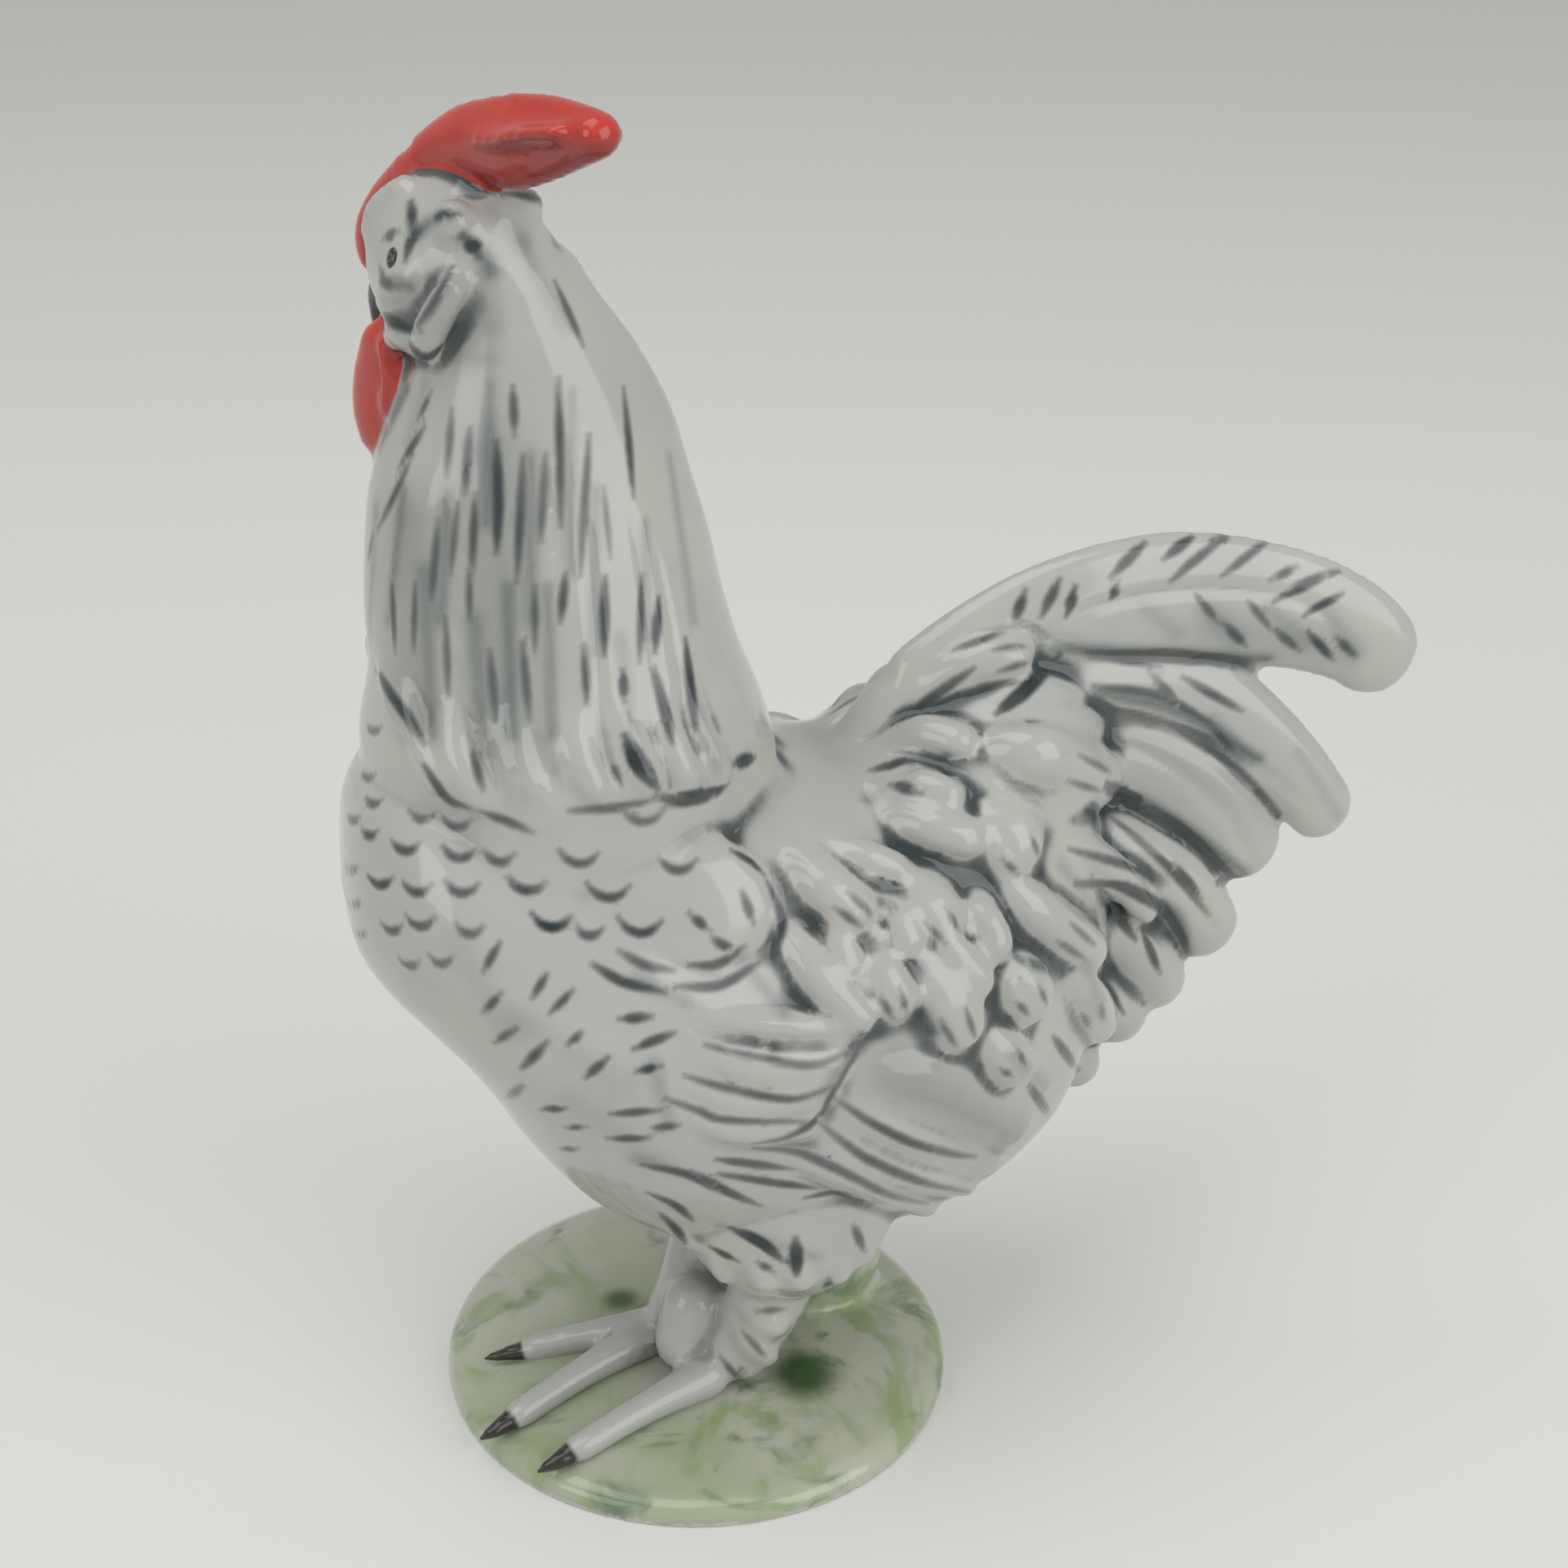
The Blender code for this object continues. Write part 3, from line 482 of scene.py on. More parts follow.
def leg(ankle, toes, side):
    """Shank and toes, and the claws apart."""
    x, y = ankle
    hip = on_trunk(0.53, 0.04, side * 0.40)
    knee = (x + SHANK_RADIUS, y, MOUND_TOP + GROUND_CLEARANCE * 0.5)
    foot = (x, y, MOUND_TOP + TOE_RADIUS * 0.4)
    radii = np.array((1.35, 1.05, 0.85)) * SHANK_RADIUS
    skins = [sweep([hip, knee, foot], radii, radii)]
    claws = []
    for tip in toes:
        run = np.array((tip[0] - x, tip[1] - y, 0))
        ahead = run / np.linalg.norm(run)
        start = np.array((x, y, MOUND_TOP + TOE_RADIUS * 0.8))
        middle = start + run * 0.5 + np.array((0, 0, -0.3 * TOE_RADIUS))
        end = start + run + np.array((0, 0, -1.1 * TOE_RADIUS))
        radii = np.array((1.5, 1.0, 0.9)) * TOE_RADIUS
        skins.append(sweep([start, middle, end], radii, radii))
        point = end + ahead * CLAW_LENGTH + np.array((0, 0, -0.5 * CLAW_RADIUS))
        radii = np.array((1.15, 0.8, 0.2)) * CLAW_RADIUS
        back = end - ahead * CLAW_RADIUS
        claws.append(sweep([back, (back + point) / 2, point], radii, radii))
    return skins, claws


def boot():
    """The feathering that fills the gap between the two shanks above the toes."""
    path = ((-1.5, -8.5, 12), (-3.0, -9.0, 6), (-5.5, -10.5, 1.5))
    radii = np.array((3.4, 3.5, 2.4)) * MM
    return sweep([np.array(place) * MM + (0, 0, MOUND_TOP) for place in path], radii, radii)


def paired(numbers):
    """Pairs of picture pixels from a flat run of numbers."""
    return tuple(zip(numbers[::2], numbers[1::2]))


def strokes(*rows):
    """Groups of half-width, strength and lines, from rows whose lines are flat runs of numbers."""
    return tuple((half, strength, tuple(map(paired, runs))) for half, strength, *runs in rows)


# How the skin is eased, and how closely the lines on it are sampled
SPECK_VERTICES = 200
VOXEL_EASING = 3
THUMB_ROUNDS = 90
GLAZE_ROUNDS = 2
FINE_ROUNDS = 9
BROAD_ROUNDS = 36
CRISP_BELOW = MOUND_TOP + 6 * MM
CRISP_ABOVE = 118 * MM
THUMB_SAMPLES = 16
STROKE_STEP = 4
SMUDGE_STEP = 5

# Brush marks, in pixels: half-width of a scallop, the half-width from which a covert gets strokes
# at its tip, and their half-width and strength
SCALLOP_HALF = 4.5
BROAD_COVERT = 29
TIP_STROKE = (3.5, 0.42)

# How far from a line the skin still keeps its distance, in millimetres
INK_REACH = 3

# Relief feathers on the left flank: root, middle, tip and half-width in picture pixels
COVERTS = (
    (1100, 880, 1190, 815, 1262, 800, 32), (1075, 915, 1130, 900, 1195, 918, 26),
    (1060, 960, 1120, 960, 1180, 985, 21), (1205, 915, 1280, 925, 1360, 960, 40),
    (1060, 985, 1130, 1010, 1205, 1035, 27), (1200, 985, 1235, 1025, 1262, 1062, 52),
    (1215, 1060, 1275, 1120, 1340, 1170, 32), (957, 1020, 1005, 1080, 1066, 1132, 30),
    (1085, 1065, 1130, 1100, 1168, 1150, 37), (1190, 1090, 1205, 1130, 1222, 1175, 24),
    (960, 1130, 995, 1185, 1030, 1232, 25), (1050, 1140, 1080, 1195, 1104, 1246, 30),
    (1110, 1170, 1155, 1215, 1184, 1280, 40), (1225, 1170, 1250, 1205, 1272, 1238, 40),
    (1300, 1190, 1330, 1220, 1345, 1258, 30), (1205, 1265, 1228, 1290, 1249, 1312, 35),
    (1290, 1010, 1350, 1060, 1400, 1120, 27), (1010, 1000, 1050, 1040, 1110, 1075, 21),
    (990, 1150, 1010, 1200, 1062, 1262, 19), (1072, 1088, 1096, 1128, 1114, 1172, 22),
    (1002, 1112, 1022, 1150, 1042, 1198, 18), (1130, 1130, 1160, 1160, 1205, 1215, 21),
)
SHOULDER = ((690, 1080, 800, 1112, 952, 1132, 100),)

# Places where the modeller's thumb ran one form into the next: half-width and line in pixels
THUMBED = (
    (15, 1066, 1136, 1072, 1141, 1078, 1146), (15, 1049, 1200, 1055, 1205, 1061, 1210),
    (15, 1181, 1136, 1187, 1141, 1193, 1146), (15, 1130, 1171, 1136, 1176, 1142, 1181),
    (46, 905, 860, 935, 930, 950, 985, 930, 1030), (34, 975, 930, 1010, 900, 1050, 930),
    (44, 640, 1040, 690, 1140, 770, 1190), (30, 640, 1000, 740, 1010, 800, 1016),
    (60, 925, 850, 960, 885, 1000, 890, 1040, 870), (30, 1020, 862, 1045, 850, 1078, 836),
    (22, 670, 268, 682, 290, 700, 322), (13, 1070, 1350, 1130, 1368, 1210, 1392),
    (13, 1020, 1388, 1100, 1415, 1190, 1434),
)
QUILLS = (
    (840, 1245, 950, 1258, 1052, 1258, 19), (835, 1285, 930, 1308, 1042, 1300, 22),
    (825, 1325, 920, 1350, 1024, 1332, 22), (825, 1358, 900, 1382, 1002, 1374, 20),
    (1060, 1310, 1150, 1335, 1255, 1385, 45), (1010, 1352, 1110, 1392, 1215, 1428, 20),
    (985, 1385, 1080, 1430, 1195, 1460, 18), (930, 1405, 1040, 1442, 1140, 1478, 16),
)
LOCKS = (
    (462, 800, 480, 850, 503, 890, 14), (478, 800, 505, 880, 546, 972, 18),
    (545, 850, 560, 930, 603, 998, 22), (620, 860, 635, 940, 672, 1012, 24),
    (700, 860, 710, 930, 738, 985, 20), (755, 855, 775, 920, 800, 975, 20),
    (805, 850, 825, 915, 848, 970, 18), (845, 850, 865, 905, 888, 960, 16),
    (880, 820, 905, 870, 928, 912, 14),
)
FLUFF = (
    (815, 1500, 835, 1535, 850, 1562, 16), (860, 1520, 880, 1553, 897, 1582, 17),
    (915, 1530, 930, 1565, 948, 1592, 18), (965, 1535, 980, 1568, 992, 1600, 18),
    (1010, 1530, 1027, 1560, 1035, 1590, 17), (1045, 1510, 1062, 1538, 1066, 1560, 16),
)
BOOTS = (
    (895, 1590, 932, 1618, 965, 1640, 21), (888, 1598, 918, 1640, 945, 1680, 21),
    (872, 1604, 896, 1656, 922, 1708, 21), (850, 1610, 866, 1664, 888, 1722, 21),
    (830, 1608, 838, 1662, 855, 1722, 21),
)

# How far the tips of each kind stand proud, in millimetres, and their thickness by their width
RELIEFS = (
    (COVERTS, 2.6, 0.75),
    (SHOULDER, 2.4, 0.4),
    (QUILLS, 1.5, 0.7),
    (LOCKS, 1.5, 0.7),
    (FLUFF, 1.0, 0.7),
)

# Brush strokes in picture pixels: half-width in pixels, darkness, and the lines they follow
NECK_INK = strokes(
    (4, 0.55, (681, 348, 713, 420), (628, 477, 630, 530), (554, 504, 547, 579)),
    (4, 0.55, (575, 528, 569, 600), (640, 562, 633, 710), (684, 466, 687, 643)),
    (5, 0.85, (608, 544, 610, 610, 608, 675), (741, 710, 740, 799)),
    (4, 0.6, (721, 536, 716, 620, 711, 702), (764, 479, 770, 540, 775, 605)),
    (4, 0.55, (582, 608, 577, 702), (518, 525, 488, 573), (502, 565, 464, 646)),
    (3, 0.45, (527, 482, 512, 514), (456, 656, 450, 688), (574, 700, 574, 757)),
    (4, 0.6, (692, 706, 687, 761), (716, 792, 719, 859), (787, 706, 783, 808)),
    (5, 0.95, (763, 824, 765, 856), (807, 735, 803, 796)),
    (6, 0.75, (802, 821, 824, 907), (840, 786, 851, 891)),
    (10, 1.0, (767, 904, 783, 935, 805, 965), (827, 977, 872, 973)),
    (4, 0.5, (748, 936, 759, 958), (579, 920, 591, 965), (480, 719, 483, 796)),
    (4, 0.45, (508, 716, 505, 796), (545, 760, 548, 850), (600, 800, 606, 880)),
    (4, 0.4, (640, 790, 648, 880), (668, 560, 662, 660), (535, 640, 528, 730)),
    (3, 0.35, (560, 620, 552, 700), (655, 720, 655, 800), (740, 600, 748, 680)),
)
FRINGE_INK = strokes(
    (6, 0.7, (460, 820, 480, 852, 500, 880, 518, 908), (520, 940, 545, 975, 575, 990)),
    (5, 0.55, (590, 996, 620, 1004, 650, 1018), (700, 992, 745, 990, 800, 980)),
    (8, 0.85, (806, 976, 835, 980, 870, 972, 890, 962), (900, 935, 925, 928)),
)
HEAD_INK = strokes(
    (6, 0.65, (497, 316, 502, 298, 512, 284), (503, 250, 506, 276)),
    (6, 0.5, (466, 330, 470, 345, 484, 352), (470, 292, 486, 284)),
    (7, 0.75, (470, 388, 490, 396, 512, 404), (500, 420, 520, 440, 545, 420)),
    (8, 0.95, (568, 290, 580, 302, 584, 312)),
    (5, 0.5, (552, 330, 530, 372, 508, 402)),
    (4, 0.5, (530, 268, 545, 262, 560, 262), (596, 232, 640, 240, 668, 246)),
)
WING_INK = strokes(
    (5, 0.85, (728, 1182, 765, 1203, 812, 1214), (830, 1208, 882, 1206, 930, 1178)),
    (5, 0.6, (760, 1166, 790, 1182, 822, 1188), (846, 1182, 880, 1180, 910, 1160)),
    (5, 0.75, (952, 1166, 957, 1124, 940, 1080), (900, 1042, 920, 1052, 934, 1068)),
    (5, 0.6, (846, 1120, 866, 1138), (872, 1150, 896, 1162), (910, 1094, 922, 1128)),
    (4, 0.5, (866, 1280, 925, 1294, 995, 1304, 1041, 1287)),
    (4, 0.5, (841, 1318, 890, 1332, 967, 1346, 1017, 1332)),
    (4, 0.5, (817, 1346, 855, 1360, 890, 1371, 992, 1374)),
    (5, 0.6, (1055, 1266, 1048, 1290, 1024, 1332, 1003, 1367, 967, 1392, 925, 1401)),
    (5, 0.6, (1024, 1346, 1066, 1374, 1115, 1399, 1164, 1413, 1195, 1417)),
    (5, 0.6, (1003, 1374, 1048, 1410, 1087, 1431, 1136, 1450, 1185, 1460)),
    (5, 0.6, (925, 1406, 974, 1410, 1024, 1431, 1087, 1462, 1136, 1474)),
)
THIGH_INK = strokes(
    (6, 0.7, (880, 1420, 967, 1431), (789, 1427, 841, 1438, 880, 1459)),
    (6, 0.75, (855, 1438, 890, 1459, 929, 1476), (883, 1438, 946, 1448, 999, 1455)),
    (6, 0.7, (989, 1466, 1024, 1460, 1048, 1469), (796, 1462, 827, 1476, 848, 1495)),
    (6, 0.75, (810, 1487, 827, 1504, 838, 1522), (873, 1529, 901, 1543)),
    (8, 0.95, (897, 1504, 932, 1522, 957, 1543), (974, 1518, 976, 1560)),
    (5, 0.6, (1015, 1567, 1013, 1578), (929, 1546, 946, 1557), (1045, 1501, 1059, 1532)),
    (4, 0.4, (930, 1605, 960, 1603), (910, 1632, 936, 1660), (884, 1664, 910, 1695)),
)
BREAST_INK = strokes(
    (4, 0.6, (610, 1157, 593, 1188), (668, 1195, 653, 1220), (612, 1218, 593, 1239)),
    (4, 0.6, (700, 1215, 675, 1239), (630, 1260, 607, 1276), (710, 1266, 698, 1278)),
    (5, 0.7, (668, 1278, 640, 1308), (742, 1297, 719, 1318), (761, 1248, 796, 1245)),
    (5, 0.8, (779, 1283, 823, 1266), (782, 1311, 807, 1306), (751, 1364, 805, 1360)),
    (5, 0.7, (802, 1381, 828, 1378), (747, 1394, 793, 1394), (665, 1359, 690, 1357)),
    (4, 0.55, (695, 1381, 716, 1380), (688, 1408, 707, 1406), (640, 1330, 620, 1345)),
)
TAIL_INK = strokes(
    (6, 0.7, (1255, 725, 1243, 759), (1296, 712, 1276, 753), (1316, 721, 1307, 753)),
    (6, 0.8, (1400, 666, 1362, 705), (1367, 719, 1362, 732), (1459, 658, 1427, 683)),
    (5, 0.65, (1513, 646, 1461, 688, 1435, 710), (1549, 664, 1498, 704)),
    (5, 0.7, (1586, 695, 1558, 709), (1638, 700, 1584, 717), (1603, 775, 1631, 807)),
    (5, 0.6, (1638, 782, 1659, 803), (1560, 770, 1590, 796), (1500, 765, 1525, 790)),
    (5, 0.7, (1562, 736, 1626, 704), (1600, 752, 1642, 728)),
    (5, 0.5, (1411, 826, 1444, 863), (1486, 892, 1515, 930)),
    (4, 0.5, (1466, 730, 1490, 760), (1530, 738, 1556, 770)),
    (14, 1.0, (1355, 962, 1385, 980, 1415, 992)),
    (9, 0.8, (1400, 985, 1440, 1010, 1480, 1045, 1520, 1085)),
    (8, 0.85, (1318, 1082, 1370, 1085, 1420, 1110, 1445, 1145, 1452, 1165)),
    (9, 0.95, (1295, 805, 1250, 850, 1222, 872)),
    (6, 0.75, (1068, 945, 1130, 930), (1090, 960, 1125, 970), (1105, 880, 1190, 820)),
    (5, 0.6, (1170, 795, 1225, 775), (1330, 800, 1420, 815), (1450, 830, 1520, 870)),
    (5, 0.55, (1420, 880, 1500, 930, 1560, 985), (1340, 840, 1420, 852, 1490, 890)),
    (5, 0.6, (1360, 1000, 1430, 1060, 1480, 1120), (1310, 1040, 1380, 1060, 1420, 1080)),
    (6, 0.7, (1400, 1140, 1420, 1190), (1345, 1190, 1375, 1240), (1290, 1270, 1320, 1310)),
    (6, 0.7, (1260, 1330, 1285, 1365), (1360, 1110, 1390, 1150), (1440, 1060, 1470, 1100)),
)

# Soft washes of thin ink, with broad painted shade on the neck, face, thigh and tail, in picture
# pixels, laid out like the strokes
SMUDGES_AND_SHADE = strokes(
    (10, 0.42, (600, 470, 597, 640), (650, 560, 650, 760), (700, 480, 700, 700)),
    (10, 0.42, (548, 610, 540, 760), (730, 600, 728, 800), (494, 600, 474, 760)),
    (10, 0.45, (790, 640, 795, 780), (622, 720, 626, 900), (672, 720, 676, 900)),
    (14, 0.4, (520, 700, 530, 900), (580, 760, 590, 920), (760, 780, 780, 940)),
    (14, 0.4, (840, 820, 880, 940), (460, 620, 450, 800), (820, 560, 850, 760)),
    # On the head: thin ink, with painted shade under the comb and beside the wattle
    (10, 0.6, (502, 250, 504, 282), (470, 392, 505, 402), (480, 345, 500, 350)),
    (13, 0.62, (566, 292, 590, 310, 602, 330), (498, 478, 482, 512, 466, 548)),
    (12, 0.7, (604, 226, 636, 234, 668, 240), (548, 262, 530, 268, 512, 286)),
    (20, 0.34, (590, 340, 604, 400), (528, 330, 552, 350), (600, 260, 640, 290)),
    (16, 0.34, (520, 470, 500, 540), (560, 440, 600, 440), (640, 300, 690, 400)),
    (12, 0.85, (1180, 955, 1200, 972), (1128, 1240, 1140, 1262), (1266, 1180, 1300, 1192)),
    (9, 0.7, (1100, 942, 1160, 926), (1078, 1104, 1092, 1112), (1240, 1166, 1250, 1176)),
    (13, 0.7, (1290, 796, 1400, 800, 1550, 808), (1340, 846, 1440, 870, 1540, 930)),
    (12, 0.7, (1390, 975, 1450, 1010, 1530, 1075), (1390, 1090, 1440, 1120, 1455, 1170)),
    (16, 0.34, (1402, 745, 1440, 775), (1477, 745, 1515, 782), (1552, 745, 1600, 786)),
    (14, 0.34, (1628, 754, 1660, 800), (1486, 880, 1520, 930), (1590, 920, 1640, 1000)),
    (16, 0.4, (1300, 1060, 1350, 1120), (1330, 1180, 1350, 1230), (1240, 1290, 1280, 1330)),
    (14, 0.45, (905, 1170, 960, 1240), (780, 1200, 840, 1226), (1050, 1270, 1010, 1340)),
    (14, 0.4, (800, 1300, 820, 1380), (780, 1420, 880, 1450), (880, 1500, 1000, 1540)),
    # Broad painted shade over the thigh and down the neck
    (60, 0.42, (1100, 1310, 1240, 1400), (600, 560, 620, 900), (500, 640, 500, 860)),
    (40, 0.3, (500, 380, 560, 400), (1380, 900, 1560, 1000), (1480, 770, 1650, 800)),
    (9, 0.35, (806, 1590, 800, 1640, 768, 1680)),
    (30, 0.26, (640, 1250, 760, 1330), (560, 1160, 620, 1260), (700, 1350, 800, 1420)),
)

# Scallops on the breast: centre and width in picture pixels, and darkness
SCALLOPS = (
    (458, 893, 16, 0.5), (452, 950, 16, 0.5), (458, 982, 18, 0.5), (433, 1003, 14, 0.5),
    (453, 1021, 18, 0.6), (518, 1000, 30, 0.5), (560, 1008, 35, 0.5), (430, 1064, 16, 0.6),
    (466, 1080, 28, 0.9), (497, 1038, 32, 0.6), (563, 1046, 38, 0.6), (433, 1106, 16, 0.6),
    (511, 1089, 32, 0.6), (566, 1089, 38, 0.6), (480, 1137, 24, 0.6), (515, 1130, 32, 0.6),
    (440, 1143, 16, 0.5), (502, 1180, 22, 0.5), (540, 1177, 26, 0.5), (645, 1085, 45, 0.7),
    (676, 1130, 45, 0.9), (709, 1052, 45, 0.7), (745, 1093, 50, 0.7), (722, 1142, 30, 0.7),
    (784, 1136, 50, 0.9), (787, 1000, 50, 0.4), (612, 1050, 36, 0.5), (830, 1060, 44, 0.5),
    (575, 1140, 30, 0.45),
)

# Grooves pressed into the clay: half-width and depth in pixels, and the lines they follow
GROOVES = strokes(
    (13, 6, (622, 128, 660, 140, 708, 140)),
    (5, 5, (1290, 770, 1350, 740, 1450, 722, 1550, 725, 1620, 750, 1655, 785)),
    (7, 6, (1250, 760, 1340, 800, 1450, 805, 1560, 812)),
    (6, 5, (1260, 850, 1350, 865, 1450, 890, 1540, 940, 1600, 985)),
    (6, 5, (1340, 900, 1420, 930, 1480, 975, 1530, 1030)),
    (6, 5, (1400, 1060, 1450, 1090, 1490, 1140), (1380, 1120, 1415, 1150, 1440, 1195)),
    (5, 4, (1500, 1000, 1520, 1030, 1535, 1055), (1330, 1230, 1360, 1270)),
    (5, 4, (1240, 1190, 1255, 1215, 1270, 1250), (1220, 1010, 1245, 1050)),
    (4, 4, (1110, 1345, 1170, 1365, 1240, 1395), (860, 1262, 950, 1274, 1040, 1272)),
    (5, 2.5, (480, 640, 470, 720, 480, 830), (505, 600, 498, 720, 520, 900)),
    (5, 2.5, (540, 600, 535, 700, 555, 930), (575, 580, 572, 700, 592, 960)),
    (5, 2.5, (610, 560, 608, 700, 632, 990), (645, 600, 645, 700, 660, 1000)),
    (5, 2.5, (680, 560, 685, 700, 705, 980), (715, 620, 722, 700, 745, 970)),
    (5, 2.5, (745, 580, 755, 700, 783, 965), (775, 640, 790, 720, 822, 970)),
    (5, 2.5, (800, 660, 820, 760, 855, 955), (835, 700, 860, 830, 895, 940)),
    (5, 4, (600, 800, 612, 880, 640, 990), (560, 820, 572, 890, 585, 985)),
)


def sight(u, v):
    """The direction from the viewer through a pixel: forward, with its share right and up."""
    half = PICTURE / 2
    return FORWARD + RIGHT * (u - half) / FOCAL_PIXELS + UPWARD * (half - v) / FOCAL_PIXELS


def seated(tree, u, v):
    """Where the sight line through a pixel meets the bird, and the way out there.

    A line that misses is moved inwards, step by step.
    """
    pixel = np.array((u, v), float)
    for _ in range(MISS_STEPS):
        place, normal, _, _ = tree.ray_cast(Vector(VIEWER), Vector(sight(*pixel)).normalized())
        if place is not None:
            way = np.array(normal)
            return np.array(place), -way if way @ (VIEWER - np.array(place)) < 0 else way
        pixel += (BIRD_MIDDLE - pixel) * MISS_SHARE
    return None


def mirrored(vertices):
    """Points on the other side of the bird's middle plane."""
    return vertices * (1, -1, 1) + (0, 2 * BIRD_OFFSET, 0)


def mirrored_head(points):
    """Points on the other side of the turned head's own middle plane."""
    side = head_axis(0, 1)
    return points - 2 * ((points - np.array(HEAD_CENTRE)) @ side)[:, None] * side


def feathers(tree, drawing, relief, flatness, both_sides=True):
    """Swept feathers whose roots sink in the flank; their tips stand proud by the relief."""
    skins = []
    for *path, half_pixels in drawing:
        seats = [seat for seat in (seated(tree, *pixel) for pixel in paired(path)) if seat]
        if len(seats) < 3:
            continue
        out = sum(normal for _, normal in seats)
        out /= np.linalg.norm(out)
        half = half_pixels * PIXEL
        thick = flatness * half
        lift = np.array((0, 0.9 * relief, relief)) - thick
        points = [place + out * up for (place, _), up in zip(seats, lift)]
        skins.append(sweep(points, np.array((0.7, 1.0, 1.0)) * half, thick, out, 36, 22))
    if both_sides:
        skins += [(mirrored(vertices), faces[:, ::-1]) for vertices, faces in skins]
    return skins


def drop_specks(mesh):
    """Takes out the islands of a few faces that the voxels leave in narrow gaps between skins."""
    form = bmesh.new()
    form.from_mesh(mesh)
    left = set(form.verts)
    specks = []
    while left:
        island = [left.pop()]
        for vertex in island:
            for edge in vertex.link_edges:
                other = edge.other_vert(vertex)
                if other in left:
                    left.remove(other)
                    island.append(other)
        if len(island) < SPECK_VERTICES:
            specks += island
    bmesh.ops.delete(form, geom=specks, context="VERTS")
    form.to_mesh(mesh)
    form.free()


def wrapped(name, skins, grid):
    """One closed mesh over all the skins: their voxels' surface, eased towards its neighbours."""
    vertices, faces = joined(skins)
    mesh = bpy.data.meshes.new(name)
    mesh.from_pydata(vertices.tolist(), [], faces.tolist())
    piece = bpy.data.objects.new(name, mesh)
    bpy.context.scene.collection.objects.link(piece)
    wrap = piece.modifiers.new("Wrap", "REMESH")
    wrap.mode = "VOXEL"
    wrap.voxel_size = grid
    wrap.use_smooth_shade = True
    ease = piece.modifiers.new("Ease", "SMOOTH")
    ease.factor = 0.5
    ease.iterations = VOXEL_EASING
    graph = bpy.context.evaluated_depsgraph_get()
    skin = bpy.data.meshes.new_from_object(piece.evaluated_get(graph))
    drop_specks(skin)
    piece.modifiers.clear()
    piece.data = skin
    bpy.data.meshes.remove(mesh)
    return piece


def vertices_of(mesh):
    flat = np.empty(len(mesh.vertices) * 3, np.float32)
    mesh.vertices.foreach_get("co", flat)
    return flat.reshape(-1, 3).astype(float)


def normals_of(mesh):
    flat = np.empty(len(mesh.vertices) * 3, np.float32)
    mesh.vertex_normals.foreach_get("vector", flat)
    return flat.reshape(-1, 3).astype(float)


def edges_of(mesh):
    flat = np.empty(len(mesh.edges) * 2, np.int32)
    mesh.edges.foreach_get("vertices", flat)
    return flat.reshape(-1, 2)


def store(mesh, name, values):
    layer = mesh.attributes.new(name, "FLOAT", "POINT")
    layer.data.foreach_set("value", np.asarray(values, np.float32))


def eased_field(field, edges, rounds):
    """Each round replaces a vertex's value by the mean of its own and its neighbours' mean."""
    count = len(field)
    degree = np.bincount(edges.ravel(), minlength=count).clip(1)
    for _ in range(rounds):
        total = np.zeros_like(field)
        for k in range(field.shape[1]):
            total[:, k] = np.bincount(edges[:, 0], field[edges[:, 1], k], count)
            total[:, k] += np.bincount(edges[:, 1], field[edges[:, 0], k], count)
        field = (field + total / degree[:, None]) / 2
    return field


def hollowness(mesh, rounds):
    """How far the much eased surface lies outside the little eased one, in millimetres."""
    edges = edges_of(mesh)
    little = eased_field(vertices_of(mesh), edges, 3)
    much = eased_field(little, edges, rounds)
    depth = np.einsum("ij,ij->i", much - little, normals_of(mesh))
    return eased_field(depth[:, None], edges, 2)[:, 0] / MM


def scallop(x, y, width):
    """A shallow brush mark that sags in the middle, its left end a little the higher."""
    shares = ((-0.5, -0.20), (-0.3, 0.02), (0.0, 0.13), (0.28, 0.06), (0.48, -0.12))
    return tuple((x + across * width, y + down * width) for across, down in shares)


def length_of(line):
    return np.linalg.norm(np.diff(np.array(line, float), axis=0), axis=1).sum()


def laid(tree, group, mirror):
    """Samples along each line of a group, seated on the skin.

    Rows are places, ways across the line (normal cross tangent), half-widths, strengths, and 1
    where a line starts.
    """
    places, ways, halves, strengths, starts = [], [], [], [], []
    for half, strength, lines in group:
        for line in lines:
            count = max(5, int(length_of(line) / STROKE_STEP))
            pixels = curve(line, count, eased_ends=False)
            taper = np.sin(np.pi * np.linspace(0.07, 0.95, count)) ** 0.6
            seats = [seated(tree, *pixel) for pixel in pixels]
            keep = [k for k, seat in enumerate(seats) if seat]
            if len(keep) < 3:
                continue
            points = np.array([seats[k][0] for k in keep])
            way = np.cross([seats[k][1] for k in keep], np.gradient(points, axis=0))
            way /= np.linalg.norm(way, axis=1, keepdims=True).clip(1e-9)
            places.append(points)
            ways.append(way)
            halves.append(half * taper[keep] * PIXEL)
            strengths.append(strength * taper[keep])
            starts.append(np.arange(len(keep)) == 0)
            if mirror is None:
                continue
            snapped = [tree.find_nearest(Vector(point)) for point in mirror(points)]
            places.append(np.array([spot[0] for spot in snapped]))
            ways.append(mirror(points + way) - mirror(points))
            halves.append(halves[-1])
            strengths.append(strengths[-1])
            starts.append(starts[-1])
    return [np.concatenate(rows) for rows in (places, ways, halves, strengths, starts)]


def nearest_line(vertices, places, ways, halves, strengths, starts):
    """Each vertex's nearest sample: distance, signed one across, half-width, strength, line."""
    tree = KDTree(len(places))
    for k, place in enumerate(places):
        tree.insert(place, k)
    tree.balance()
    found = np.array([tree.find(vertex)[1:] for vertex in vertices])
    which = found[:, 0].astype(int)
    across = np.einsum("ij,ij->i", vertices - places[which], ways[which])
    return found[:, 1], across, halves[which], strengths[which], np.cumsum(starts)[which]


